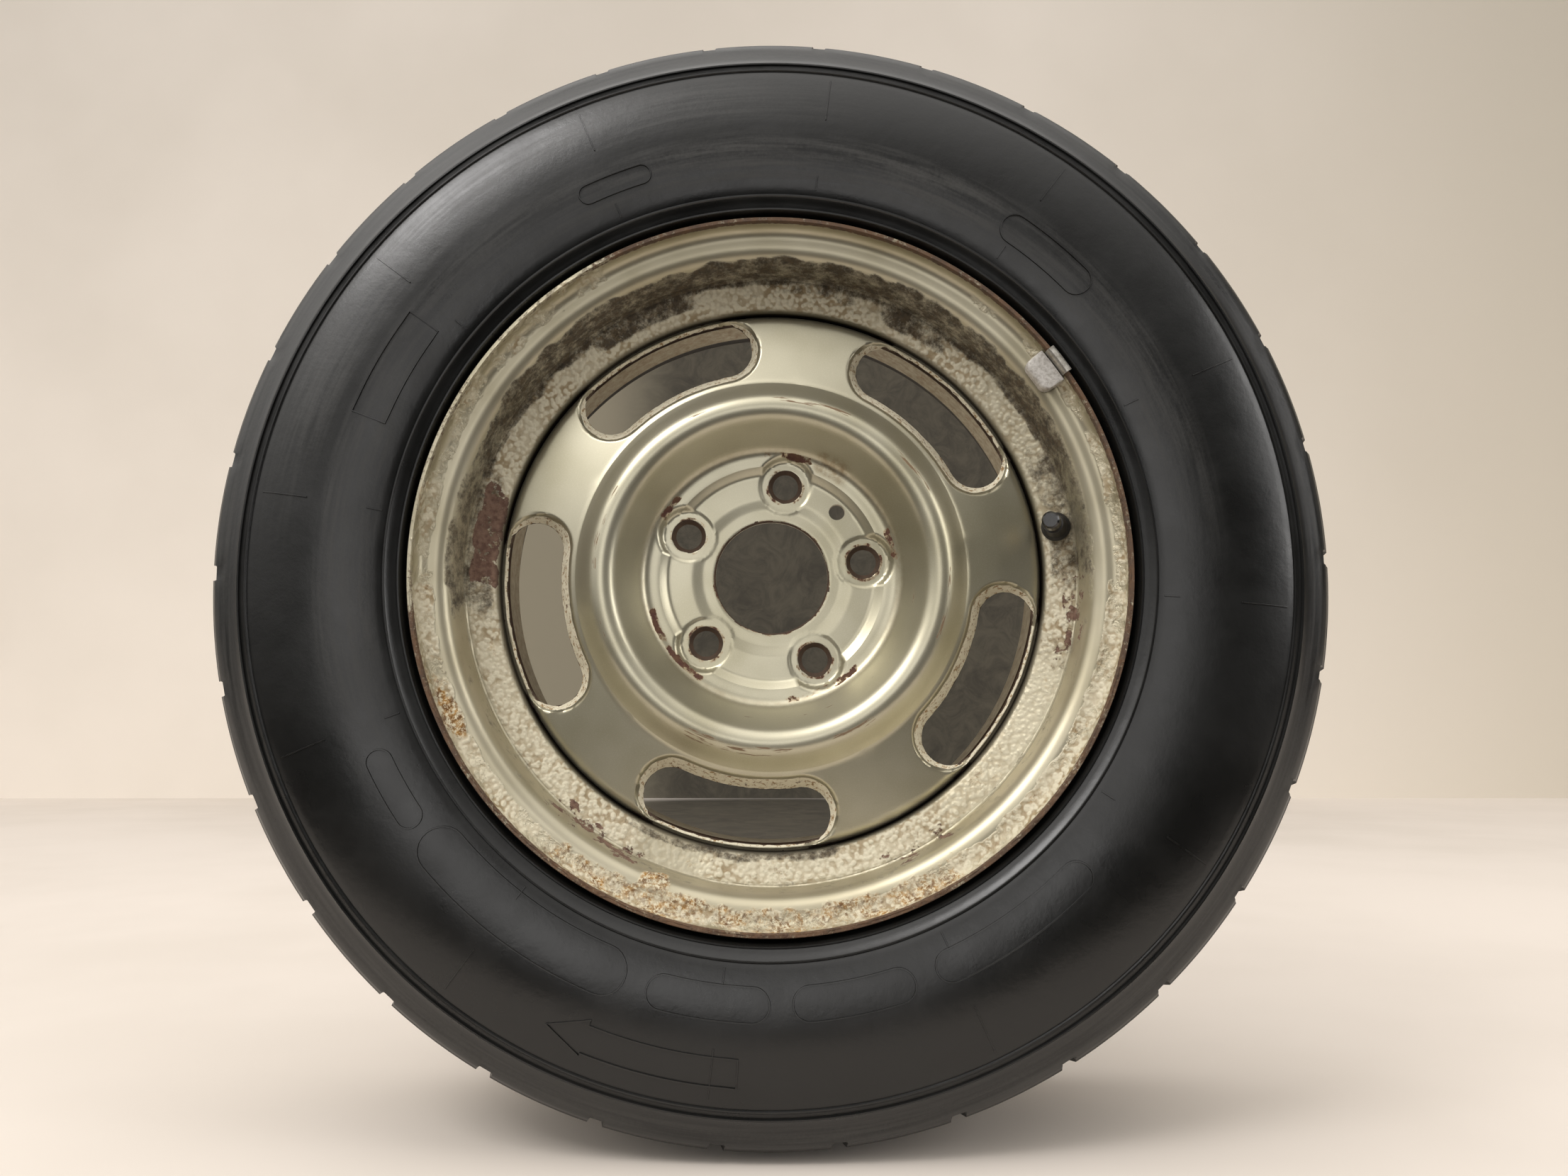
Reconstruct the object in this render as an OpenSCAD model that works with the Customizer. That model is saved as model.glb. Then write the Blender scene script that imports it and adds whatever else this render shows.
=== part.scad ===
// Car wheel: a pressed steel disc welded into a steel rim, with a winter tyre,
// a snap-in rubber valve and one clip-on balance weight.
// Origin at the wheel's centre, on the rim's middle plane. The wheel's axis is Y,
// the outer face looks along -Y and +Z is up. Sizes in millimetres.
// Every section is drawn flat as [radius, outboard distance] and turned about the axis.

/* [Tyre] */
// Width of the tyre across its sidewalls
section_w = 187; // [182:1:192]
// Height of the tyre from the bead seat to the tread
section_h = 129.9; // [126:0.1:134]
// Width of the tread between the shoulder edges
tread_w = 146; // [140:1:148]
// How far the tread falls from its middle to the shoulder edge
crown_drop = 5.6; // [4:0.2:7]
// Depth of the tread grooves
groove_depth = 8; // [5:0.5:8]
// Rubber under the grooves
tread_base = 3.4; // [3:0.1:5]
// Width of the grooves that run round the tyre
ring_groove_w = 8; // [5:0.5:9]
// Distance of the inner round grooves from the middle
inner_groove_at = 16; // [13:1:18]
// Distance of the outer round grooves from the middle
outer_groove_at = 46; // [42:1:49]
// Number of tread blocks round each shoulder
pitches = 30; // [24:1:32]
// Width of the grooves across the shoulder blocks
shoulder_groove_w = 7; // [4:0.5:9]
// Width of the grooves across the inner blocks
block_groove_w = 5; // [3:0.5:7]
// Thickness of the sidewall
sidewall_t = 7; // [5:0.5:8]
// How far the sidewall bulges past its upper and lower ends
sidewall_bulge = 6.9; // [5:0.1:8]
// Width of the bead on its seat
bead_w = 18; // [16:0.5:18.5]
// Height of the moulded ridge rings on the sidewall
ridge_r = 0.9; // [0.5:0.1:1.2]

/* [Rim] */
// Radius of the bead seat at the flange
seat_r = 177.4; // [177:0.1:178]
// Width between the rim flanges
rim_w = 139.7; // [137:0.1:143]
// Height of the flange above the bead seat
flange_h = 17.3; // [17:0.1:18]
// Width of the flange from its wall to its lip
flange_w = 13; // [12.5:0.1:13.5]
// Radius of the flange's curl
flange_curl_r = 9.5; // [9:0.1:10]
// Taper of the bead seat
seat_taper = 5; // [4:0.5:6]
// Thickness of the rim sheet
rim_t = 2.6; // [2.2:0.1:3]
// Depth of the well below the bead seat
well_depth = 19.8; // [18:0.1:21]
// Lean of the outboard well wall
well_lean = 18.5; // [16:0.5:21]
// Outboard distance of the well wall's foot
well_front = 37; // [36:0.1:38]
// Outboard distance of the well's inboard end, negative is inboard
well_back = -10; // [-14:0.5:-6]
// Height of the safety hump above the seat
hump_h = 1.2; // [0.8:0.1:1.5]

/* [Disc] */
// Offset of the hub face from the middle plane
offset_et = 25; // [23:0.5:26]
// Thickness of the disc sheet
disc_t = 4; // [3.6:0.1:4.2]
// Radius of the centre bore
bore_r = 32.55; // [30:0.05:34]
// Thickness of the flattened ring round the bore
bore_ring_t = 2.8; // [2.4:0.1:3]
// Radius of the flattened ring
bore_ring_r = 40; // [38:0.5:42]
// Radius of the bolt circle
bolt_circle_r = 54; // [53:0.1:55]
// Number of wheel bolts
bolts = 5; // [4:1:5]
// Radius of a bolt hole
bolt_hole_r = 7.5; // [6.5:0.1:8]
// Radius of a bolt seat at its mouth
bolt_seat_r = 9.8; // [9:0.1:11]
// Radius of the boss round a bolt hole
boss_r = 14.5; // [13:0.5:15.5]
// How far a boss lies below the pads between the bolts
boss_drop = 0.8; // [0.5:0.1:1]
// Radius of the small hole between two bolts
dowel_hole_r = 4.7; // [3:0.1:6]
// Radius at the top of the crown
crown_r = 94; // [90:0.5:96]
// Height of the crown above the hub face
crown_h = 35.5; // [30:0.5:38]
// Number of vent slots
slots = 5; // [4:1:5]
// Radius of the slots' middle line
slot_mid_r = 136.5; // [135:0.1:137]
// Half the width of a slot at its narrow inner end
slot_half_w = 15.4; // [14:0.1:16.5]
// Half the angle between a slot's end centres
slot_half_angle = 16; // [12:0.5:18]
// Extra half width at the slot's round ends
slot_end_w = 0.1; // [0.05:0.05:0.4]
// Depth of the turned-in lip at the slot's middle line
slot_lip_h = 7.6; // [6:0.1:8.5]
// Thickness of the slot's lip
slot_lip_t = 3; // [2.5:0.1:3.2]
// Length of the disc's skirt inside the rim
skirt_l = 24; // [18:0.5:28]
// Leg of the weld fillets behind the skirt
weld_leg = 3.6; // [3:0.1:4]
// Angle that one weld covers
weld_angle = 46; // [30:1:60]

/* [Valve] */
// Angle of the valve round the wheel
valve_at = 9.5; // [0:0.5:20]
// Distance of the valve from the axis
valve_r = 165; // [164:0.1:166]
// Radius of the valve hole in the rim
valve_hole_r = 5.75; // [5.6:0.05:6]
// Length of the valve from the rim to its tip
valve_l = 33; // [30:0.5:36]
// Radius of the rubber at the rim
rubber_r = 8.2; // [7.5:0.1:8.5]
// Radius of the rubber behind the rim
bulb_r = 9.3; // [8.8:0.1:9.6]
// Outer radius of the brass insert's thread
thread_r = 3.85; // [3.8:0.05:3.9]
// Travel of the valve pin
pin_travel = 1.3; // [1:0.1:1.5]
// Outer radius of the cap
cap_r = 5; // [4.8:0.1:5.4]
// Length of the cap
cap_l = 11; // [9:0.5:13]

/* [Balance weight] */
// Angle of the weight round the wheel
weight_at = 35.6; // [20:0.1:60]
// Length of the weight along the rim
weight_l = 20; // [16:1:60]
// Width of the spring clip
clip_w = 15.5; // [10:0.5:16]
// Thickness of the spring clip
clip_t = 1; // [0.8:0.1:1]
// Thickness of the weight in front of the clip
weight_t = 6; // [4:0.5:6.5]

/* [Hidden] */
$fn = 96;

// Clearances
seat_fit = 0.3;      // tyre to rim
press_gap = 0.05;    // pressed and bonded faces
thread_fit = 0.05;   // cap on its thread, pin in its guide
touch = 0.05;        // faces that seal or rest on each other

// Rim
half_w = rim_w / 2;
flange_r = seat_r + flange_h;
lip_d = half_w + flange_w;
lip_fall = 0.6;
lip_slope = lip_fall / flange_w;
curl = [flange_r - flange_curl_r * (lip_slope + sqrt(1 + pow(lip_slope, 2))), half_w + flange_curl_r];
seat_run = 19.8;
heel_r = 6.5;
seat_end_r = seat_r - seat_run * tan(seat_taper);
hump_at = half_w - 23;
well_r = seat_r - well_depth;
well_in_r = well_r - rim_t;
ledge_r = seat_r - 3;
wall_top_d = well_front + (ledge_r - well_r) * tan(well_lean);
back_slope = 18;
well_corner_r = 3.2;

// Disc
pad_d = offset_et + disc_t;
boss_d = pad_d - boss_drop;
bore_ring_d = offset_et + bore_ring_t;
bore_edge = 1;
pad_in_r = bolt_circle_r - 7.7;
pad_out_r = bolt_circle_r + 6;
shelf_d = pad_d + 3.2;
shelf_in_r = pad_out_r + 5;
dish_r = shelf_in_r + 8.5;
crown_d = offset_et + crown_h;
vent_in = [crown_r + 17, crown_d - 15];
skirt_r = well_in_r - press_gap;
vent_out = [skirt_r, crown_d - 22.8];
vent_fall = (vent_in[1] - vent_out[1]) / (vent_out[0] - vent_in[0]);
skirt_end_d = vent_out[1] - skirt_l - disc_t;
boss_slope = 0.75;
boss_clear = 8;
bolt_seat_depth = 2;
bolt_at = 9.5;
slot_at = bolt_at + 36;
slot_slope = 0.62;
slot_low_d = vent_in[1] - (slot_mid_r - vent_in[0]) * vent_fall - slot_lip_h;

// Valve, along its own axis from the rim's visible face
valve_d = well_front + (valve_r - well_r) * tan(well_lean) + rim_t / cos(well_lean);
bulb_h = 6;
bulb_chamfer = 2.4;
wall_sag = pow(rubber_r, 2) * sin(well_lean) / (2 * valve_r);
seat_h = wall_sag + touch;
stem_top = valve_l - 14.5;
passage_r = 1.9;
chamber_r = 2.6;
plug_r = chamber_r - touch;
plug_h = 4.8;
plug_top = valve_l - 0.6;
barrel_r = 1.9;
barrel_top = plug_top - plug_h - touch;
barrel_h = 7.4;
barrel_low = barrel_top - barrel_h;
barrel_in_r = 1.35;
barrel_floor = 1;
gasket_r = 2.35;
pin_r = 0.5;
collar_r = barrel_in_r - 0.15;
collar_h = 0.6;
collar_low = barrel_top - 1.1 - collar_h;
cup_r = 1.5;
cup_h = 1.6;
washer_h = 0.9;
washer_top = barrel_low - touch;
spring_wire_r = 0.16;
spring_turns = 5;
seal_h = 0.8;
cap_roof = 1.6;
cap_top = valve_l + touch + seal_h + touch + cap_roof;
cap_in_r = thread_r + thread_fit;

// Balance weight
clip_gap = 0.1;
clip_back_end = lip_d - 4.2;
clip_low_r = curl[0] - 5;
weight_low_r = curl[0] - 7.2;

function unit(v) = v / norm(v);
function side(v) = [-v[1], v[0]];
function arc(c, r, a0, a1, n) = [for (i = [0:n]) c + r * [cos(a0 + (a1 - a0) * i / n), sin(a0 + (a1 - a0) * i / n)]];

// A corner b between a and c rounded with radius r, as points on the arc
function corner(a, b, c, r, n) =
    let (u = unit(a - b), v = unit(c - b), half = acos(u * v) / 2)
    let (mid = b + unit(u + v) * r / sin(half), s = b + u * r / tan(half) - mid)
    let (turn = (u[0] * v[1] - u[1] * v[0] > 0 ? -1 : 1) * (180 - 2 * half))
    [for (i = [0:n]) mid + [s[0] * cos(turn * i / n) - s[1] * sin(turn * i / n),
                            s[0] * sin(turn * i / n) + s[1] * cos(turn * i / n)]];

// A path of [x, y, corner radius] with its corners rounded
function smooth(p, n = 6) = [for (i = [0:len(p) - 1])
    let (b = [p[i][0], p[i][1]])
    each (i == 0 || i == len(p) - 1 || p[i][2] == 0) ? [b]
        : corner([p[i - 1][0], p[i - 1][1]], b, [p[i + 1][0], p[i + 1][1]], p[i][2], n)];

// The path moved sideways by d, and the closed outline of a sheet along it
function beside(p, d) = [for (i = [0:len(p) - 1])
    let (a = unit(i == 0 ? p[1] - p[0] : p[i] - p[i - 1]))
    let (b = i == len(p) - 1 ? a : unit(p[i + 1] - p[i]))
    let (n = unit(side(a) + side(b)))
    p[i] + n * d / (n * side(a))];
function back(p) = [for (i = [len(p) - 1:-1:0]) p[i]];
function sheet(p, t) = concat(p, back(beside(p, t)));
function mirrored(p) = [for (i = [len(p) - 1:-1:0]) [p[i][0], -p[i][1]]];

// Stand the flat model up, outboard towards -Y
module stand() rotate([90, 0, 0]) children();
module around(count, first) for (i = [0:count - 1]) rotate([0, 0, first + i * 360 / count]) children();
// A section swept through an angle centred on a place round the wheel
module swept(at, angle) rotate([0, 0, at - angle / 2]) rotate_extrude(angle = angle) children();

// Tyre
side_low_r = flange_r + 10.3;
side_high_r = seat_r + section_h - 24;
side_mid_r = (side_low_r + side_high_r) / 2;
function side_d(r) = section_w / 2 - sidewall_bulge * pow((r - side_mid_r) / (side_high_r - side_mid_r), 2);
function tread_r(d) = seat_r + section_h - crown_drop * pow(d / (tread_w / 2), 2);
tread_edge_d = tread_w / 2;
inner_crown_r = tread_r(outer_groove_at) - groove_depth - tread_base;

function ridge(r, d) = [[r - ridge_r, d], [r - 0.4 * ridge_r, d + 0.8 * ridge_r],
    [r + 0.4 * ridge_r, d + 0.8 * ridge_r], [r + ridge_r, d]];
function sidewall(from, to, n) = [for (i = [0:n]) let (r = from + (to - from) * i / n) [r, side_d(r)]];

tyre_outside = concat(
    smooth([[seat_r - (bead_w * tan(seat_taper)) + seat_fit, half_w - bead_w, 0],
            [seat_r + seat_fit, half_w - seat_fit, heel_r + seat_fit],
            [curl[0], half_w - seat_fit, 0]]),
    arc(curl, flange_curl_r + seat_fit, -90, -35, 6),
    [[flange_r + 1.9, half_w + 9.1]],
    ridge(flange_r + 3.2, lip_d + 1.3),
    [[flange_r + 6, lip_d + 2.2]],
    ridge(side_low_r, side_d(side_low_r)),
    sidewall(side_low_r + 3, side_high_r - 9, 10),
    ridge(side_high_r - 6, side_d(side_high_r - 6)),
    ridge(side_high_r - 1.5, side_d(side_high_r - 1.5)),
    [[side_high_r + 6.3, tread_edge_d + 10.3], [side_high_r + 14.2, tread_edge_d + 6.6]],
    [for (i = [0:8]) let (d = tread_edge_d * (1 - i / 8)) [tread_r(d), d]]);
tyre_inside = smooth([
    [seat_r - (bead_w * tan(seat_taper)) + seat_fit, half_w - bead_w, 0],
    [seat_r + 6, half_w - bead_w - 0.5, 3],
    [side_low_r - 4, side_d(side_low_r) - sidewall_t - 5, 12],
    [side_mid_r - 10, section_w / 2 - sidewall_t, 60],
    [side_high_r - 4, tread_edge_d + 15.5 - sidewall_t, 30],
    [inner_crown_r, tread_edge_d + 1, 14],
    [inner_crown_r, 0, 0]]);

module tyre_section() difference() {
    polygon(concat(tyre_outside, mirrored(tyre_outside), back(mirrored(tyre_inside)), back(tyre_inside)));
    for (s = [-1, 1], d = [inner_groove_at, outer_groove_at])
        translate([tread_r(d) - groove_depth, s * d - ring_groove_w / 2]) square([2 * groove_depth, ring_groove_w]);
}

// A straight groove across the tread, from a floor radius at distance d outwards
module cross_groove(w, floor_r, d, l, slant, fall)
    translate([floor_r, 0, d]) rotate([slant, 0, 0]) rotate([0, -fall, 0])
        translate([0, -w / 2, 0]) cube([3 * groove_depth, w, l]);

module tyre() color([0.07, 0.07, 0.07]) stand() difference() {
    rotate_extrude() tyre_section();
    for (s = [0, 1]) mirror([0, 0, s]) {
        around(pitches, s * 180 / pitches)
            cross_groove(shoulder_groove_w, tread_r(outer_groove_at) - groove_depth + 0.6,
                outer_groove_at, 45, 8, 3.5);
        around(pitches, (s + 0.5) * 180 / pitches)
            cross_groove(block_groove_w, tread_r(inner_groove_at) - groove_depth + 1.5,
                inner_groove_at, outer_groove_at - inner_groove_at, -18, 0);
    }
}

// Rim: the tyre side of the sheet from the outboard lip to the inboard one
rim_half = [
    [flange_r - lip_fall, lip_d, 0],
    [flange_r, half_w, flange_curl_r],
    [seat_r, half_w, heel_r],
    [seat_end_r, half_w - seat_run, 4],
    [seat_end_r + hump_h, hump_at, 3.4]];
function flipped(p) = [for (i = [len(p) - 1:-1:0]) [p[i][0], -p[i][1], p[i][2]]];
rim_line = smooth(concat(rim_half,
    [[ledge_r, wall_top_d, 3.4], [well_r, well_front, well_corner_r], [well_r, well_back, 12],
     [ledge_r, well_back - back_slope, 14], [ledge_r, -(hump_at - 4), 3.4]],
    flipped(rim_half)));

// The valve's own axis: z leaves the rim's visible face
module at_valve() rotate([0, 0, valve_at]) translate([valve_r, 0, valve_d]) rotate([0, -well_lean, 0])
    children();

module rim() color([0.72, 0.70, 0.64]) stand() difference() {
    rotate_extrude() polygon(sheet(rim_line, -rim_t));
    at_valve() translate([0, 0, -2 * rim_t]) cylinder(r = valve_hole_r, h = 4 * rim_t);
}

// Disc: the front face of its sheet from the pads to the end of the skirt
pad_line = smooth([
    [pad_in_r, pad_d, 0],
    [pad_out_r, pad_d, 2],
    [shelf_in_r, shelf_d, 5],
    [dish_r, shelf_d + 0.4, 8],
    [crown_r, crown_d, 10],
    [vent_in[0], vent_in[1], 10],
    [vent_out[0], vent_out[1], 7],
    [skirt_r, skirt_end_d, 0]]);
disc_section = concat([[bore_r, offset_et], [bore_r, bore_ring_d - bore_edge], [bore_r + bore_edge, bore_ring_d],
    [bore_ring_r, bore_ring_d]], pad_line, back(beside(pad_line, -disc_t)));
// Front face between the crown and the skirt
function vent_d(r) = vent_in[1] - (r - vent_in[0]) * vent_fall;
lip_in_r = vent_in[0] + 1.5;
lip_out_r = skirt_r - disc_t + 0.5;

// A long curved hole that narrows inboard, centred on angle 0
module kidney(extra) {
    function w(d) = slot_half_w + extra + slot_slope * (d - slot_low_d);
    low = slot_low_d - 5;
    high = crown_d;
    swept(0, 2 * slot_half_angle) polygon([[slot_mid_r - w(low), low], [slot_mid_r + w(low), low],
        [slot_mid_r + w(high), high], [slot_mid_r - w(high), high]]);
    for (s = [-1, 1]) rotate([0, 0, s * slot_half_angle]) translate([slot_mid_r, 0, low])
        cylinder(r1 = w(low) + slot_end_w, r2 = w(high) + slot_end_w, h = high - low);
}

module lip_band() rotate_extrude() polygon([
    [lip_in_r, vent_d(lip_in_r) - 0.5], [lip_out_r, vent_d(lip_out_r) - 0.5],
    [lip_out_r, slot_low_d], [lip_in_r, slot_low_d]]);

// A boss is the sheet pressed flat round the bolt; its cut takes the shelf away and opens the bolt seat
module boss() translate([bolt_circle_r, 0, offset_et])
    cylinder(r1 = boss_r + 3, r2 = boss_r + 2, h = boss_d - offset_et);
module boss_cut() translate([bolt_circle_r, 0, boss_d]) rotate_extrude() polygon([
    [0, -2 * disc_t], [bolt_hole_r, -2 * disc_t], [bolt_hole_r, -bolt_seat_depth], [bolt_seat_r, 0],
    [boss_r, 0], [boss_r + boss_slope * boss_clear, boss_clear], [0, boss_clear]]);

module wheel_disc() color([0.74, 0.72, 0.66]) stand() difference() {
    union() {
        rotate_extrude() polygon(disc_section);
        around(bolts, bolt_at) boss();
        around(slots, slot_at) intersection() {
            lip_band();
            kidney(slot_lip_t);
        }
    }
    around(slots, slot_at) kidney(0);
    around(bolts, bolt_at) boss_cut();
    rotate([0, 0, slot_at]) translate([bolt_circle_r, 0, offset_et - 1]) cylinder(r = dowel_hole_r, h = 12);
}

module weld_seams() color([0.45, 0.40, 0.36]) stand()
    around(slots, slot_at + 36) swept(0, weld_angle) polygon([
        [skirt_r, skirt_end_d - press_gap], [skirt_r - weld_leg, skirt_end_d - press_gap],
        [skirt_r, skirt_end_d - press_gap - weld_leg]]);

// Valve: rubber stem snapped into the rim, drawn along its own axis
module turned(points) stand() at_valve() rotate_extrude() polygon(points);

module valve_stem() color([0.06, 0.06, 0.06]) turned([
    [thread_r + press_gap, -rim_t - bulb_h], [bulb_r - 2, -rim_t - bulb_h],
    [bulb_r, -rim_t - bulb_h + 2], [bulb_r, -rim_t - bulb_chamfer],
    [bulb_r - bulb_chamfer - 0.2, -rim_t - touch],
    [valve_hole_r - press_gap, -rim_t - touch], [valve_hole_r - press_gap, seat_h],
    [rubber_r - 0.6, seat_h], [rubber_r, seat_h + 0.8], [rubber_r, 2.2], [rubber_r - 1.6, 4],
    [cap_r + 0.9, stem_top - 5], [cap_r + 0.5, stem_top], [thread_r + press_gap, stem_top]]);

module valve_insert() color([0.72, 0.56, 0.28]) turned([
    [passage_r, -rim_t - bulb_h + 1], [thread_r, -rim_t - bulb_h + 1], [thread_r, valve_l - 0.4],
    [thread_r - 0.4, valve_l], [chamber_r, valve_l], [chamber_r, barrel_top - 2.2],
    [gasket_r + touch, barrel_top - 3], [gasket_r - 0.2 + touch, barrel_low + 1],
    [gasket_r - 0.2 + touch, barrel_low - cup_h - pin_travel - 1.4],
    [passage_r, barrel_low - cup_h - pin_travel - 1.8]]);

module core_plug() color([0.78, 0.62, 0.32]) stand() at_valve() difference() {
    rotate_extrude() polygon([[pin_r + thread_fit, plug_top - plug_h], [plug_r, plug_top - plug_h],
        [plug_r, plug_top - 1.8], [plug_r - 0.5, plug_top - 1.2], [plug_r - 0.5, plug_top],
        [pin_r + thread_fit, plug_top]]);
    for (s = [-1, 1]) translate([s * plug_r, 0, plug_top - 0.6])
        cube([2 * (plug_r - 1), 2 * plug_r, 1.3], center = true);
}

module core_barrel() color([0.74, 0.58, 0.30]) turned([
    [pin_r + 0.4, barrel_low], [barrel_r - 0.3, barrel_low], [barrel_r, barrel_low + 0.3],
    [barrel_r, barrel_top], [barrel_in_r, barrel_top], [barrel_in_r, barrel_low + barrel_floor],
    [pin_r + 0.4, barrel_low + barrel_floor]]);

module barrel_gasket() color([0.55, 0.12, 0.10]) turned([
    [barrel_r + press_gap, barrel_low + 1.2], [gasket_r - 0.2, barrel_low + 1.2],
    [gasket_r, barrel_top - 3.1], [barrel_r + press_gap, barrel_top - 3.1]]);

module core_pin() color([0.70, 0.70, 0.72]) turned([
    [0, washer_top - washer_h - cup_h], [pin_r, washer_top - washer_h - cup_h], [pin_r, collar_low],
    [collar_r, collar_low], [collar_r, collar_low + collar_h], [pin_r, collar_low + collar_h],
    [pin_r, plug_top - 0.3], [pin_r - 0.2, plug_top], [0, plug_top]]);

module pin_cup() color([0.70, 0.55, 0.28]) turned([
    [pin_r + press_gap / 2, washer_top - washer_h - cup_h + 0.4],
    [cup_r, washer_top - washer_h - cup_h + 0.4], [cup_r, washer_top - 0.3],
    [cup_r - 0.25, washer_top - 0.3], [cup_r - 0.25, washer_top - washer_h],
    [pin_r + press_gap / 2, washer_top - washer_h]]);

module cup_washer() color([0.10, 0.10, 0.10]) turned([
    [pin_r + press_gap / 2, washer_top - washer_h + touch / 2], [cup_r - 0.3, washer_top - washer_h + touch / 2],
    [cup_r - 0.3, washer_top], [pin_r + press_gap / 2, washer_top]]);

module core_spring() color([0.60, 0.60, 0.62]) stand() at_valve()
    translate([0, 0, barrel_low + barrel_floor + touch])
        linear_extrude(height = collar_low - barrel_low - barrel_floor - 2 * touch,
            twist = -360 * spring_turns, slices = 12 * spring_turns, $fn = 8)
            translate([(pin_r + barrel_in_r) / 2, 0]) circle(r = spring_wire_r, $fn = 8);

module valve_cap() color([0.05, 0.05, 0.05]) stand() at_valve() rotate_extrude() polygon([
    [cap_in_r, cap_top - cap_l], [cap_r - 0.3, cap_top - cap_l], [cap_r, cap_top - cap_l + 0.5],
    [cap_r - 0.25, cap_top - 1], [cap_r - 1.2, cap_top], [0, cap_top],
    [0, cap_top - cap_roof], [cap_in_r, cap_top - cap_roof]]);

module cap_seal() color([0.16, 0.16, 0.16]) turned([
    [pin_r + 0.8, valve_l + touch], [cap_in_r - touch, valve_l + touch],
    [cap_in_r - touch, valve_l + touch + seal_h], [pin_r + 0.8, valve_l + touch + seal_h]]);

// Balance weight: a spring clip hooked over the lip, with the weight cast on its front
clip_line = concat(
    [[clip_low_r, half_w - rim_t + 2 * rim_t + clip_gap]],
    arc(curl, flange_curl_r - rim_t - clip_gap, -90, 0, 8),
    arc([flange_r - (rim_t + lip_fall) / 2, lip_d], (rim_t + lip_fall) / 2 + clip_gap, 180, 0, 8),
    [[flange_r + clip_gap, clip_back_end]]);

module weight_clip() color([0.66, 0.66, 0.67]) stand()
    swept(weight_at, clip_w / curl[0] * 180 / PI) polygon(sheet(clip_line, clip_t));

clip_front_d = half_w + rim_t + clip_gap + clip_t + touch;
module balance_weight() color([0.62, 0.62, 0.63]) stand()
    swept(weight_at, weight_l / curl[0] * 180 / PI) polygon(concat(
        [[weight_low_r, clip_front_d]],
        arc(curl, flange_curl_r - rim_t - clip_gap - clip_t - touch, -90, -20, 6),
        smooth([[curl[0] + 5.2, curl[1] + 1.2, 0], [curl[0] + 3.6, clip_front_d + weight_t + 1, 1.5],
                [weight_low_r, clip_front_d + weight_t, 2], [weight_low_r, clip_front_d + 1, 0]])));

tyre();
rim();
wheel_disc();
weld_seams();
valve_stem();
valve_insert();
core_plug();
core_barrel();
barrel_gasket();
core_pin();
pin_cup();
cup_washer();
core_spring();
valve_cap();
cap_seal();
balance_weight();
weight_clip();
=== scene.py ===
"""Looks for the wheel and tyre assembly.

Everything is drawn flat first, as radius or x and y in millimetres with the outboard distance, the way
the part's source does it, and then stood up: x stays, outboard becomes -Y and y becomes Z, in metres.
"""
import math

import bmesh
import bpy
import numpy as np
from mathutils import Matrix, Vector, noise


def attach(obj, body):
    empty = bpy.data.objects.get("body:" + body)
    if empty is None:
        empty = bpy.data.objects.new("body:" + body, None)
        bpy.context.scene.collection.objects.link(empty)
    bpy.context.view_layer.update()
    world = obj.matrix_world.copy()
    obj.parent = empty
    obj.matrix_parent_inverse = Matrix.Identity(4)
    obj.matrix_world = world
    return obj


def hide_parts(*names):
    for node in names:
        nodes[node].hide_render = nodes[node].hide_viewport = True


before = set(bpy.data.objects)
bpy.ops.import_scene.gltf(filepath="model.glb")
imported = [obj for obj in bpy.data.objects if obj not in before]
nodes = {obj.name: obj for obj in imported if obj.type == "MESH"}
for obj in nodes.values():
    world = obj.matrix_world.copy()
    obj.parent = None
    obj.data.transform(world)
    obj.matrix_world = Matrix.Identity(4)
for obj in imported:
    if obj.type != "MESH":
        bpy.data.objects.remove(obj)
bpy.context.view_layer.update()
MM = 0.001

# Sizes shared with the part's source, in mm
SEAT_R = 177.4
HALF_W = 69.85
FLANGE_R = 194.7
LIP_D = 82.85
RIM_T = 2.6
WELL_R = 157.6
DISC_T = 4.0
HUB_D = 25.0
BOLT_CIRCLE_R = 54.0
BOLT_AT = 9.5
BOSS_D = 28.2
BOSS_R = 14.5
BOLT_HOLE_R = 7.5
SMALL_HOLE_R = 4.7
SMALL_HOLE_AT = 45.2
BORE_R = 32.55
SLOT_MID_R = 136.5
SLOT_HALF_ANGLE = 16.0
SLOT_HALF_W = 15.4
SLOT_LOW_D = 33.37
SLOT_SLOPE = 0.62
SIDE_LOW_R = 205.0
SIDE_HIGH_R = 283.3
TREAD_HALF_W = 73.0
PITCHES = 30
CURL = np.array([184.77, 79.35])
WEIGHT_AT = 35.6
WEIGHT_LOW_R = 177.57
WEIGHT_BACK_D = 73.6

# Where the disc's zones of grid meet, in mm from the axis
INNER_END_R = 42
BAND_END_R = 65
CROWN_START_R = 73
VENT_START_R = 111
VENT_END_R = 153.4


# Flat geometry

def rounded(path, steps=6):
    """A line through (x, y, corner radius) points with its corners rounded."""
    points = [np.array(p[:2], float) for p in path]
    out = [points[0]]
    for i in range(1, len(points) - 1):
        radius = path[i][2]
        if radius == 0:
            out.append(points[i])
            continue
        u = points[i - 1] - points[i]
        v = points[i + 1] - points[i]
        u /= np.linalg.norm(u)
        v /= np.linalg.norm(v)
        half = math.acos(float(np.clip(u @ v, -1, 1))) / 2
        mid = points[i] + (u + v) / np.linalg.norm(u + v) * radius / math.sin(half)
        start = points[i] + u * radius / math.tan(half) - mid
        side = -1 if u[0] * v[1] - u[1] * v[0] > 0 else 1
        turn = side * (math.pi - 2 * half)
        for k in range(steps + 1):
            c = math.cos(turn * k / steps)
            s = math.sin(turn * k / steps)
            out.append(mid + np.array([start[0] * c - start[1] * s, start[0] * s + start[1] * c]))
    out.append(points[-1])
    return np.array(out)


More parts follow.
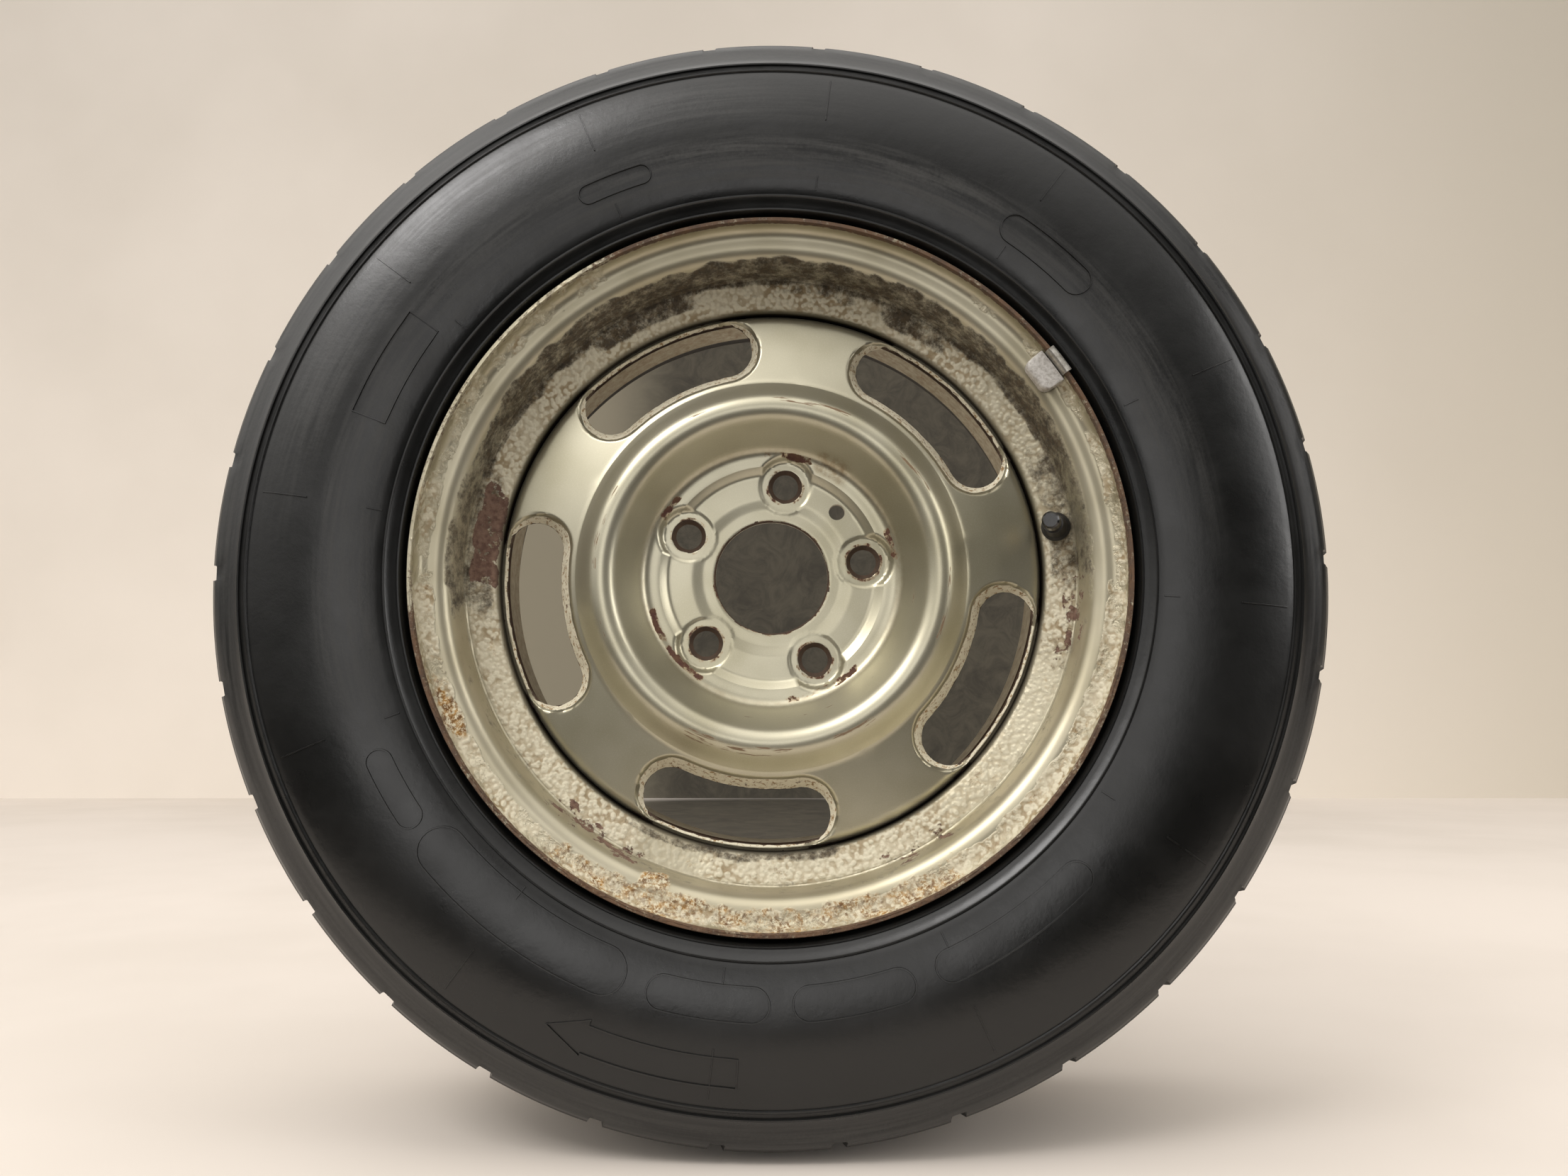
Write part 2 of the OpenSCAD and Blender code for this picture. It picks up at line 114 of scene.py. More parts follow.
def spaced(path, step):
    """The line with points added so that none lie further apart than step."""
    out = [path[0]]
    for a, b in zip(path[:-1], path[1:]):
        n = max(1, math.ceil(np.linalg.norm(b - a) / step))
        out += [a + (b - a) * k / n for k in range(1, n + 1)]
    return np.array(out)


def beside(path, distance):
    """The line moved sideways."""
    step = np.diff(path, axis=0)
    step /= np.linalg.norm(step, axis=1)[:, None]
    before = np.vstack([step[:1], step])
    after = np.vstack([step, step[-1:]])
    left = np.stack([-before[:, 1] - after[:, 1], before[:, 0] + after[:, 0]], axis=1)
    left /= np.linalg.norm(left, axis=1)[:, None]
    square = np.stack([-before[:, 1], before[:, 0]], axis=1)
    return path + left * distance / np.sum(left * square, axis=1)[:, None]


def softer_min(a, b, k):
    h = np.clip(0.5 + 0.5 * (b - a) / k, 0, 1)
    return b * (1 - h) + a * h - k * h * (1 - h)


def softer_max(a, b, k):
    return -softer_min(-a, -b, k)


def span(value, low, high, soft):
    """1 between low and high, fading to 0 over soft outside them."""
    return np.clip((value - low) / soft + 1, 0, 1) * np.clip((high - value) / soft + 1, 0, 1)


def sector(angle, low, high, soft):
    """The same for an angle round the wheel, in degrees."""
    off = np.abs((angle - (low + high) / 2 + 180) % 360 - 180)
    return np.clip(((high - low) / 2 - off) / soft + 1, 0, 1)


def strongest(turn, r, rows):
    """The strongest of some soft patches.

    Each row has two angles and their softness, two radii and theirs, and an amount.
    """
    out = np.zeros(len(r))
    for a, b, soft_turn, low, high, soft_r, amount in rows:
        out = np.maximum(out, amount * sector(turn, a, b, soft_turn) * span(r, low, high, soft_r))
    return out


def wander(points, r, turn, amount=1.0):
    """Radius and angle moved about a little, so that what they bound has an uneven edge."""
    a = lumps(points, 17, 2.2)
    b = lumps(points, 6, 8.8)
    c = lumps(points, 15, 31.0)
    e = lumps(points, 5, 47.0)
    return r + amount * (2.2 * a + 1.1 * b), (turn + amount * (3.6 * c + 1.6 * e)) % 360


def nearest(angle, first):
    """The angle from the nearest of five places, in degrees."""
    return (angle - first + 36) % 72 - 36


def lumps(points, size, seed):
    """Smooth noise from -1 to 1 at each point of the row frame; size in mm."""
    shift = Vector((seed, seed * 0.7, -seed))
    scale = 1 / (size * MM)
    return np.array([noise.noise(Vector(p) * scale + shift) for p in points])


# Meshes

def stand(x, y, d):
    """Flat places in mm and their outboard distance, stood up in metres."""
    return np.stack([x, -d, y], axis=-1) * MM


def new_mesh(name, points, faces, sharp=35, masks=None):
    """A mesh object with outward normals, smooth but for its sharp edges, and named masks on its points."""
    mesh = bpy.data.meshes.new(name)
    mesh.from_pydata(points.tolist(), [], faces)
    bm = bmesh.new()
    bm.from_mesh(mesh)
    bmesh.ops.recalc_face_normals(bm, faces=bm.faces)
    bm.to_mesh(mesh)
    bm.free()
    mesh.shade_smooth()
    mesh.set_sharp_from_angle(angle=math.radians(sharp))
    for key, value in (masks or {}).items():
        layer = mesh.attributes.new(key, "FLOAT", "POINT")
        layer.data.foreach_set("value", np.asarray(value, np.float32))
    piece = bpy.data.objects.new(name, mesh)
    bpy.context.scene.collection.objects.link(piece)
    return piece


def ring_faces(rows, columns):
    """Quads of a grid that goes all the way round and back to its first row."""
    faces = []
    for i in range(rows):
        k = (i + 1) % rows
        for j in range(columns):
            m = (j + 1) % columns
            faces.append((i * columns + j, i * columns + m, k * columns + m, k * columns + j))
    return faces


def polar(points):
    """Radius in mm and angle in degrees of points in the row frame."""
    turn = np.degrees(np.arctan2(points[:, 2], points[:, 0])) % 360
    return np.hypot(points[:, 0], points[:, 2]) / MM, turn


# Materials

def rgb(r, g, b):
    """A colour given as it is seen, 0 to 255."""
    shares = [((c / 255 + 0.055) / 1.055) ** 2.4 if c > 10 else c / 255 / 12.92 for c in (r, g, b)]
    return tuple(shares) + (1.0,)


class Net:
    """A material's node tree, with short calls for the nodes used here."""

    def __init__(self, name):
        self.mat = bpy.data.materials.new(name)
        self.mat.use_nodes = True
        self.tree = self.mat.node_tree
        self.shader = self.tree.nodes["Principled BSDF"]
        self.place = self.add("ShaderNodeNewGeometry").outputs["Position"]

    def add(self, kind, **settings):
        node = self.tree.nodes.new(kind)
        for key, value in settings.items():
            setattr(node, key, value)
        return node

    def feed(self, socket, value):
        if isinstance(value, bpy.types.NodeSocket):
            self.tree.links.new(value, socket)
        else:
            socket.default_value = value

    def math(self, operation, a, b=0.0, clamp=False):
        node = self.add("ShaderNodeMath", operation=operation, use_clamp=clamp)
        self.feed(node.inputs[0], a)
        self.feed(node.inputs[1], b)
        return node.outputs[0]

    def times(self, a, b):
        return self.math("MULTIPLY", a, b)

    def most(self, a, b):
        return self.math("MAXIMUM", a, b)

    def rest(self, value, clamp=False):
        """What is left of 1."""
        return self.math("SUBTRACT", 1.0, value, clamp)

    def mix(self, amount, a, b):
        """One colour turning into another."""
        node = self.add("ShaderNodeMix", data_type="RGBA")
        self.feed(node.inputs["Factor"], amount)
        self.feed(node.inputs[6], a)
        self.feed(node.inputs[7], b)
        return node.outputs[2]

    def blend(self, amount, a, b):
        """One number turning into another."""
        node = self.add("ShaderNodeMix", data_type="FLOAT")
        self.feed(node.inputs["Factor"], amount)
        self.feed(node.inputs[2], a)
        self.feed(node.inputs[3], b)
        return node.outputs[0]

    def noise(self, per_mm, detail=4.0, rough=0.6, warp=0.0, at=None):
        node = self.add("ShaderNodeTexNoise")
        self.feed(node.inputs["Vector"], at or self.place)
        node.inputs["Scale"].default_value = per_mm * 1000
        node.inputs["Detail"].default_value = detail
        node.inputs["Roughness"].default_value = rough
        node.inputs["Distortion"].default_value = warp
        return node.outputs["Fac"]

    def cells(self, per_mm):
        """Distance from the middle of the nearest of some scattered cells."""
        node = self.add("ShaderNodeTexVoronoi", feature="SMOOTH_F1")
        self.feed(node.inputs["Vector"], self.place)
        node.inputs["Scale"].default_value = per_mm * 1000
        return node.outputs["Distance"]

    def step(self, value, low, high):
        """0 below low, 1 above high, smooth between."""
        node = self.add("ShaderNodeMapRange", interpolation_type="SMOOTHSTEP")
        self.feed(node.inputs["Value"], value)
        node.inputs["From Min"].default_value = low
        node.inputs["From Max"].default_value = high
        return node.outputs["Result"]

    def mask(self, name):
        return self.add("ShaderNodeAttribute", attribute_name=name).outputs["Fac"]

    def broken(self, mask, grain, low=0.95, high=1.1):
        """A soft mask with an edge broken up by a noise."""
        return self.step(self.math("ADD", mask, grain), low, high)

    def streaks(self, per_mm, along=2.5, detail=3.0):
        """Noise drawn out round the wheel's axis."""
        parts = self.add("ShaderNodeSeparateXYZ")
        self.feed(parts.inputs[0], self.place)
        flat = self.add("ShaderNodeCombineXYZ")
        self.feed(flat.inputs[0], parts.outputs[0])
        self.feed(flat.inputs[1], parts.outputs[2])
        length = self.add("ShaderNodeVectorMath", operation="LENGTH")
        self.feed(length.inputs[0], flat.outputs[0])
        unit = self.add("ShaderNodeVectorMath", operation="NORMALIZE")
        self.feed(unit.inputs[0], flat.outputs[0])
        part = self.add("ShaderNodeSeparateXYZ")
        self.feed(part.inputs[0], unit.outputs[0])
        vector = self.add("ShaderNodeCombineXYZ")
        self.feed(vector.inputs[0], self.times(part.outputs[0], along))
        self.feed(vector.inputs[1], self.times(part.outputs[1], along))
        drop = self.math("ADD", length.outputs["Value"], self.times(parts.outputs[1], 0.6))
        self.feed(vector.inputs[2], self.times(drop, per_mm * 1000))
        return self.noise(0.001, detail, 0.6, at=vector.outputs[0])

    def bump(self, height, mm, strength=1.0, under=None):
        node = self.add("ShaderNodeBump")
        node.inputs["Strength"].default_value = strength
        node.inputs["Distance"].default_value = mm * MM
        self.feed(node.inputs["Height"], height)
        if under is not None:
            self.feed(node.inputs["Normal"], under)
        return node.outputs[0]

    def finish(self, colour, rough, metal=0.0, normal=None, coat=0.0):
        self.feed(self.shader.inputs["Base Color"], colour)
        self.feed(self.shader.inputs["Roughness"], rough)
        self.feed(self.shader.inputs["Metallic"], metal)
        self.shader.inputs["Coat Weight"].default_value = coat
        self.shader.inputs["Coat Roughness"].default_value = 0.25
        if normal is not None:
            self.feed(self.shader.inputs["Normal"], normal)
        return self.mat


PAINT = rgb(186, 181, 160)
PAINT_DARK = rgb(166, 160, 136)
CREAM = rgb(222, 214, 190)
OCHRE = rgb(176, 132, 62)
RUST = rgb(90, 62, 40)
MAROON = rgb(74, 40, 30)


def paint_material():
    """Aged metallic paint with scuffs, chips and a corroded lip round each slot."""
    n = Net("disc_paint")
    large = n.noise(0.012, 3)
    fine = n.noise(0.25, 5, 0.7)
    flake = n.noise(2.2, 2, 0.7)
    colour = n.mix(n.step(large, 0.35, 0.7), PAINT, PAINT_DARK)
    colour = n.mix(n.times(n.step(flake, 0.45, 0.75), 0.16), colour, rgb(228, 222, 204))
    colour = n.mix(n.times(n.mask("haze"), n.step(fine, 0.2, 0.75)), colour, rgb(120, 98, 66))
    lip = n.broken(n.mask("lip"), n.times(n.noise(0.16, 4), 0.9), 0.95, 1.15)
    specks = n.step(n.noise(0.42, 5, 0.7), 0.52, 0.62)
    lip_colour = n.mix(specks, CREAM, rgb(150, 120, 78))
    lip_colour = n.mix(n.step(n.noise(0.2, 5, 0.75), 0.60, 0.68), lip_colour, RUST)
    colour = n.mix(lip, colour, lip_colour)
    scuff = n.broken(n.mask("scuff"), n.times(n.streaks(0.75, 7), 1.25), 1.66, 1.76)
    colour = n.mix(n.times(scuff, 0.85), colour, rgb(112, 82, 54))
    chip_grain = n.noise(0.13, 6, 0.72)
    chip = n.broken(n.mask("chip"), chip_grain, 1.02, 1.07)
    chip_edge = n.broken(n.mask("chip"), chip_grain, 0.95, 1.02)
    colour = n.mix(n.times(chip_edge, 0.5), colour, rgb(150, 118, 84))
    colour = n.mix(chip, colour, n.mix(n.step(fine, 0.35, 0.65), MAROON, RUST))
    # rusty edges of the holes, and painted shade in the crevice at the disc's outer corner and behind the
    # slots
    edge = n.broken(n.mask("edge"), n.noise(0.22, 5, 0.7), 0.95, 1.1)
    colour = n.mix(edge, colour, n.mix(fine, rgb(38, 28, 21), rgb(82, 60, 40)))
    worn = n.most(n.most(chip, edge), n.times(scuff, 0.7))
    rough = n.blend(n.most(worn, n.times(lip, 0.8)), n.blend(large, 0.32, 0.39), 0.78)
    metal = n.times(n.rest(n.most(worn, lip), clamp=True), 0.85)
    texture = n.bump(flake, 0.006, 0.25)
    texture = n.bump(n.times(lip, n.noise(0.35, 5, 0.65)), 0.9, 0.8, texture)
    texture = n.bump(n.rest(chip), 0.25, 0.7, texture)
    return n.finish(colour, rough, metal, texture)


def rim_material():
    """The same paint on the rim, blistered in the well and rusty along the lip."""
    n = Net("rim_paint")
    fine = n.noise(0.25, 5, 0.7)
    grain = n.noise(0.11, 6, 0.7)
    large = n.noise(0.012, 3)
    colour = n.mix(n.step(large, 0.35, 0.7), rgb(186, 179, 157), rgb(166, 158, 134))
    blister = n.mask("blister")
    beads = n.cells(0.42)
    valley = n.step(beads, 0.34, 0.58)
    flange = n.broken(n.mask("flange"), n.noise(0.06, 6, 0.7), 0.95, 1.15)
    beaded = n.most(blister, flange)
    gathered = n.blend(n.step(n.noise(0.04, 5, 0.7), 0.40, 0.62), 0.35, 1.0)
    tone = n.mix(n.times(valley, gathered), rgb(206, 198, 174), rgb(150, 132, 100))
    colour = n.mix(beaded, colour, tone)
    crust = n.step(n.noise(0.5, 5, 0.75), 0.40, 0.56)
    ochre = n.broken(n.mask("ochre"), n.times(grain, 1.1), 0.90, 1.2)
    colour = n.mix(n.times(ochre, n.rest(crust)), colour, rgb(214, 206, 180))
    rust_tone = n.mix(n.step(fine, 0.4, 0.62), OCHRE, rgb(104, 72, 38))
    colour = n.mix(n.times(ochre, crust), colour, rust_tone)
    # dirt patches, and painted shade: a darker band over the top half and a ring in the concave corner at the
    # foot of the seat
    dirt_and_shade = n.broken(n.mask("dirt_and_shade"), n.noise(0.10, 8, 0.8), 0.92, 1.22)
    dirt_tone = n.mix(n.step(fine, 0.3, 0.7), rgb(38, 30, 20), rgb(76, 61, 39))
    colour = n.mix(n.times(dirt_and_shade, 0.95), colour, dirt_tone)
    bare = n.broken(n.mask("bare"), grain, 0.98, 1.02)
    colour = n.mix(bare, colour, n.mix(n.step(fine, 0.35, 0.65), rgb(92, 66, 54), rgb(124, 98, 82)))
    # painted shade: the barrel behind the disc turned nearly black
    colour = n.mix(n.mask("shade"), colour, rgb(34, 28, 21))
    edge = n.broken(n.mask("edge"), n.noise(0.3, 6, 0.75), 0.92, 1.12)
    colour = n.mix(n.times(edge, 0.95), colour, n.mix(n.step(grain, 0.4, 0.6), RUST, rgb(70, 48, 34)))
    worn = n.most(n.most(bare, edge), n.most(n.times(dirt_and_shade, 0.9), ochre))
    rough = n.blend(worn, n.blend(beaded, n.blend(large, 0.36, 0.44), 0.58), 0.82)
    metal = n.times(n.rest(n.most(worn, beaded), clamp=True), 0.8)
    texture = n.bump(n.noise(2.0, 2, 0.7), 0.006, 0.25)
    texture = n.bump(n.times(beaded, n.rest(beads)), 1.1, 0.9, texture)
    texture = n.bump(n.times(blister, n.noise(0.16, 5, 0.62, 0.4)), 1.0, 0.8, texture)
    texture = n.bump(n.times(n.most(n.most(edge, dirt_and_shade), ochre), fine), 0.5, 0.8, texture)
    texture = n.bump(n.rest(bare), 0.4, 0.8, texture)
    return n.finish(colour, rough, metal, texture)


def tyre_material():
    """Black rubber with a dressed shine, dust and rubbed grey patches."""
    n = Net("tyre_rubber")
    large = n.noise(0.018, 4)
    fine = n.noise(0.6, 4, 0.7)
    streak = n.streaks(0.35, 4)
    colour = n.mix(n.step(large, 0.3, 0.75), rgb(12, 12, 11), rgb(18, 18, 17))
    dust = n.times(n.mask("dust"), n.step(n.math("ADD", streak, n.times(fine, 0.4)), 0.5, 0.95))
    colour = n.mix(n.times(dust, 0.6), colour, rgb(92, 90, 86))
    tread = n.mask("tread")
    colour = n.mix(n.times(tread, n.step(fine, 0.3, 0.8)), colour, rgb(46, 44, 40))
    rough = n.blend(n.most(dust, tread), n.blend(n.step(large, 0.3, 0.7), 0.26, 0.36), 0.66)
    texture = n.bump(fine, 0.10, 0.35)
    texture = n.bump(n.noise(0.09, 4, 0.6), 0.30, 0.5, texture)
    return n.finish(colour, rough, 0.0, texture)


def plain_material(name, colour, darker, rough, metal=0.0, per_mm=0.5, bump=0.05, coat=0.0):
    """A surface with a slight change of colour and sheen over it."""
    n = Net(name)
    grain = n.noise(per_mm, 5, 0.65)
    tone = n.mix(n.step(grain, 0.35, 0.7), colour, darker)
    rough = n.blend(grain, rough, min(1.0, rough + 0.15))
    return n.finish(tone, rough, metal, n.bump(grain, bump, 0.5), coat)


# Disc

def disc_front():
    """The front line of the disc: the step along it, its radius and its outboard distance.

    The step is the radius itself up to the skirt.
    """
    line = rounded([(BORE_R, 26.6, 0), (32.9, 27.5, 0.4), (33.9, 27.8, 0.5), (40, 27.8, 1.5), (46.3, 29, 1.5),
                    (60, 29, 1.5), (BAND_END_R, 32.2, 3), (73.5, 32.6, 8), (94, 60.5, 10),
                    (VENT_START_R, 45.5, 10), (154.95, 37.7, 7), (154.95, 9.7, 0)], 8)
    line = spaced(line, 0.3)
    flat = line[:, 0] <= VENT_END_R
    last = int(np.nonzero(flat)[0][-1])
    run = np.linalg.norm(np.diff(line[last:], axis=0), axis=1)
    along = np.concatenate([line[:last + 1, 0], line[last, 0] + np.cumsum(run)])
    return along, line[:, 0], line[:, 1]


ALONG, LINE_R, LINE_D = disc_front()


def kidney_distance(x, y):
    """Distance from the middle line of the nearest slot."""
    r = np.hypot(x, y)
    off = nearest(np.degrees(np.arctan2(y, x)), BOLT_AT + 36)
    turn = np.radians(off - np.clip(off, -SLOT_HALF_ANGLE, SLOT_HALF_ANGLE))
    return np.hypot(r * np.cos(turn) - SLOT_MID_R, r * np.sin(turn))


def disc_height(x, y):
    """Radius, outboard distance and the slot and bolt distances of a point laid out flat."""
    along = np.hypot(x, y)
    r = np.interp(along, ALONG, LINE_R)
    base = np.interp(along, ALONG, LINE_D)
    angle = np.degrees(np.arctan2(y, x))
    off = np.radians(nearest(angle, BOLT_AT))
    bolt = np.hypot(along * np.cos(off) - BOLT_CIRCLE_R, along * np.sin(off))
    boss = BOSS_D - np.clip(bolt - 16.3, 0, None) * 1.2
    d = softer_max(base, boss, 0.5)
    d = softer_min(d, BOSS_D + np.clip(bolt - BOSS_R, 0, None) / 0.75, 0.35)
    cone = BOSS_D + (bolt - 9.8) * 0.87
    d = np.where(bolt < 16, softer_min(d, cone, 0.25), d)
    slot = kidney_distance(x, y)
    lip = SLOT_LOW_D + (slot - SLOT_HALF_W) / SLOT_SLOPE
    d = np.where((along > 105) & (along < 156), softer_min(d, lip, 0.9), d)
    return r, d, slot, bolt, base


def ray_block(centre, border, near, rings, reach, spacing=1.5):
    """Rays from a hole's edge out to the points of a closed border. rings are distances from the edge."""
    ray = border - centre
    length = np.linalg.norm(ray, axis=1)
    ray /= length[:, None]
    rows = []
    room = length - near
    scale = np.minimum(1.0, room / reach)
    for k in rings:
        rows.append(centre + ray * (near + k * scale)[:, None])
    rest = room - rings[-1] * scale
    count = max(2, math.ceil(float(rest.max()) / spacing))
    for k in range(1, count + 1):
        rows.append(centre + ray * (near + rings[-1] * scale + rest * k / count)[:, None])
    return np.stack(rows)


def on_bolt_circle(at):
    """The flat place on the bolt circle at an angle."""
    return BOLT_CIRCLE_R * np.array([math.cos(math.radians(at)), math.sin(math.radians(at))])


def border(low, high, middle, half, columns, sides):
    """Points round a part of a ring, anticlockwise from its low corner."""
    turns = np.linspace(-half, half, columns + 1)
    up = np.array(sides)
    r = np.concatenate([np.full(columns, low), up[:-1], np.full(columns, high), up[:0:-1]])
    a = np.concatenate([turns[:-1], np.full(len(up) - 1, half), turns[:0:-1], np.full(len(up) - 1, -half)])
    a = np.radians(a + middle)
    return np.stack([r * np.cos(a), r * np.sin(a)], axis=1)


def build_disc():
    """The pressed disc as a grid that follows its holes, with its back, hole walls and masks for its wear and
    painted shade.
    """
    grids = []

    def rings(radii, low=0.0, high=360.0, step=1.0):
        turns = np.radians(np.linspace(low, high, int(round((high - low) / step)) + 1))
        r = np.array(radii)[:, None]
        grids.append((np.stack([r * np.cos(turns), r * np.sin(turns)], axis=-1), False))

    inner = [BORE_R, 32.7, 33.0, 33.4, 34, 35, 36.2, 37.4, 38.6, 39.6, 40.6, INNER_END_R]
    band = [INNER_END_R, 43.2, 44.6, 45.8, 46.8, 48.2, 50, 52, 54, 56, 58, 59.4, 60.4, 61.4, 62.6, 63.8,
            BAND_END_R]
    rings(inner)
    for k in range(5):
        at = BOLT_AT + 72 * k
        edge = border(INNER_END_R, BAND_END_R, at, 12, 24, band)
        steps = [0, 0.7, 1.4, 1.9, 2.3, 2.7]
        grids.append((ray_block(on_bolt_circle(at), edge, np.full(len(edge), BOLT_HOLE_R), steps, 2.9), True))
        if k == 0:
            rings(band, at + 12, at + 28)
            rings(band, at + 44, at + 60)
            middle = at + 36
            rings(band[:6], middle - 8, middle + 8)
            rings(band[11:], middle - 8, middle + 8)
            edge = border(band[5], band[11], middle, 8, 16, band[5:12])
            near = np.full(len(edge), SMALL_HOLE_R)
            grids.append((ray_block(on_bolt_circle(SMALL_HOLE_AT), edge, near, [0, 0.25, 0.5], 0.6), True))
        else:
            rings(band, at + 12, at + 60)
    rings([BAND_END_R, 66.2, 67.4, 68.6, 69.8, 71, 72, CROWN_START_R])
    rings([CROWN_START_R, 74.4, 75.8, 77.2, 78.6, 80, 81.6, 83.2, 84.8, 86.2, 87.6, 89, 90.4, 91.8, 93.2,
           94.6, 96, 97.4, 98.8, 100.4, 102.4, 104.6, 106.8, 109, VENT_START_R])
    slot_sides = [VENT_START_R, 114, 117, 120, 123.5, 127, 131, 135, 139, 142.5, 146, 149, 151.4, VENT_END_R]
    for k in range(5):
        at = BOLT_AT + 36 + 72 * k
        edge = border(VENT_START_R, VENT_END_R, at, 36, 72, slot_sides)
        off = np.degrees(np.arctan2(edge[:, 1], edge[:, 0])) - at
        turn = np.radians(at + np.clip((off + 180) % 360 - 180, -SLOT_HALF_ANGLE, SLOT_HALF_ANGLE))
        centre = SLOT_MID_R * np.stack([np.cos(turn), np.sin(turn)], axis=1)
        steps = [0, 0.4, 1.0, 1.9, 3.0, 4.2, 5.3, 6.2, 6.9, 7.5, 8.2]
        grids.append((ray_block(centre, edge, np.full(len(edge), SLOT_HALF_W), steps, 9.2, 3.6), True))
    rings([VENT_END_R, 154.4, 155.6, 157, 158.5, 161, 165, 170, 176, ALONG[-1]])

    points, quads, total = [], [], 0
    for grid, closed in grids:
        rows, columns = grid.shape[:2]
        points.append(grid.reshape(-1, 2))
        i, j = np.meshgrid(np.arange(rows - 1), np.arange(columns if closed else columns - 1), indexing="ij")
        m = (j + 1) % columns
        quads.append(total + np.stack([i * columns + j, i * columns + m, (i + 1) * columns + m,
                                       (i + 1) * columns + j], axis=-1).reshape(-1, 4))
        total += rows * columns
    flat = np.vstack(points)
    quads = np.vstack(quads)
    _, first, back = np.unique(np.round(flat / 0.002).astype(np.int64), axis=0, return_index=True,
                                  return_inverse=True)
    flat = flat[first]
    quads = back.reshape(-1)[quads]
    quads = quads[[len(set(q)) == 4 for q in quads.tolist()]]
    one = flat[quads[:, 2]] - flat[quads[:, 0]]
    two = flat[quads[:, 3]] - flat[quads[:, 1]]
    turned = one[:, 0] * two[:, 1] < one[:, 1] * two[:, 0]
    quads[turned] = quads[turned][:, ::-1]

    r, d, slot, bolt, base = disc_height(flat[:, 0], flat[:, 1])
    angle = np.arctan2(flat[:, 1], flat[:, 0])
    front = np.stack([r * np.cos(angle), r * np.sin(angle), d], axis=1)
    across = np.cross(front[quads[:, 2]] - front[quads[:, 0]], front[quads[:, 3]] - front[quads[:, 1]])
    normal = np.zeros_like(front)
    for k in range(4):
        np.add.at(normal, quads[:, k], across)
    normal /= np.linalg.norm(normal, axis=1)[:, None]
    inward = np.sign(normal[np.argmin(np.abs(r - 50)), 2])
    rear = front - normal * inward * DISC_T
    hub = np.clip((r - 58) / 5, 0, 1)[:, None]
    held = np.stack([front[:, 0], front[:, 1], np.full(len(front), HUB_D)], axis=1)
    rear = held * (1 - hub) + rear * hub
    skirt = np.hypot(flat[:, 0], flat[:, 1]) > 160
    rear[skirt, 2] = front[skirt, 2]

    # Edges used once are the rims of the holes: they are walled up between the two sides
    edges = np.vstack([quads[:, [k, (k + 1) % 4]] for k in range(4)])
    edges = np.sort(edges, axis=1)
    pairs, count = np.unique(edges, axis=0, return_counts=True)
    rims = pairs[count == 1]
    n = len(front)
    faces = np.vstack([quads, quads[:, ::-1] + n,
                       np.stack([rims[:, 0], rims[:, 1], rims[:, 1] + n, rims[:, 0] + n], axis=1)])
    body = np.vstack([front, rear])
    points = stand(body[:, 0], body[:, 1], body[:, 2])

    turn = np.degrees(angle) % 360
    ways = lumps(points[:n], 9, 3.1)
    rw, tw = wander(points[:n], r, turn, 0.45)
    small = lumps(points[:n], 3.5, 7.7)
    vent = (r > 105) * (r < 156)
    off_slot = slot - SLOT_HALF_W
    mouth = np.maximum(SLOT_SLOPE * (base - SLOT_LOW_D), 2.6)
    lip = np.clip((mouth - 0.9 + 0.5 * ways - off_slot) / 0.9, 0, 1) * vent
    scuff = np.zeros(n)
    scuffed = ((97.5, 102, 21, 46), (97, 101, 64, 90), (98, 102, 107, 120), (97, 101.5, 151, 179),
               (98, 101, 195, 205), (96.5, 102.5, 242, 276), (97, 101, 290, 305), (98, 102, 337, 360),
               (74.6, 75.2, 95, 135), (81.5, 82.3, 258, 300), (81.5, 82.4, 313, 356))
    for low, high, a, b in scuffed:
        scuff = np.maximum(scuff, span(r + 0.3 * ways, low, high, 0.8) * sector(tw, a, b, 5))
    chip = np.zeros(n)
    for a, b in ((10, 21), (72, 93), (139, 151), (196, 210), (214, 236), (277, 313)):
        chip = np.maximum(chip, 0.56 * span(rw, 70.0, 73.0, 2.0) * sector(tw, a, b, 4))
    chip = np.maximum(chip, 0.50 * span(bolt + 0.5 * small, 9.0, 11.0, 2.2))
    chip = np.maximum(chip, 0.46 * span(rw, 32, 34.0, 1.4))
    chip = np.clip(chip + 0.12 * ways * (chip > 0.05), 0, 1)
    haze = 0.30 * span(r, 72.5, 75, 1.5)
    haze = np.maximum(haze, 0.8 * span(rw, 68, 76, 3) * sector(tw, 56, 67, 5))
    haze = np.maximum(haze, 0.8 * span(rw, 155.5, 160, 1.2))
    haze = np.maximum(haze, 0.16 * span(off_slot - mouth, -0.5, 0.4, 1.2) * vent)
    edge = np.maximum(0.9 * np.clip((10.1 + 0.35 * small - bolt) / 0.4, 0, 1), 0.75 * (rw < 33.6))
    near_edge = np.clip((0.35 + 0.5 * small + 0.3 * ways - off_slot) / 0.4, 0, 1)
    # painted shade: a dark band in the crevice where the disc's outer corner bends down to the well
    corner_crevice_shade = span(r + 0.5 * small, 154.0, 154.9, 0.5) * 0.8 * (slot < 25)
    edge = np.maximum(edge, np.maximum(0.9 * near_edge, corner_crevice_shade) * vent)
    masks = {"lip": lip, "scuff": scuff, "chip": chip, "haze": haze, "edge": edge}
    # rust, and painted shade darkening the back round the slots and the depth of the slot walls
    rear_rust_and_shade = 0.9 * np.clip((5 - off_slot) / 2, 0, 1) * vent
    rear = {"lip": np.zeros(n), "scuff": np.zeros(n), "chip": np.full(n, 0.36), "haze": np.full(n, 0.8),
            "edge": np.maximum(rear_rust_and_shade, 0.9 * (bolt < 9.5))}
    masks = {k: np.concatenate([v, rear[k]]) for k, v in masks.items()}
    dents = np.concatenate([lip * (0.35 * small + 0.2 * ways), np.zeros(n)])
    points[:, 1] -= dents * MM
    return new_mesh("disc", points, faces.tolist(), 40, masks)


# Rim

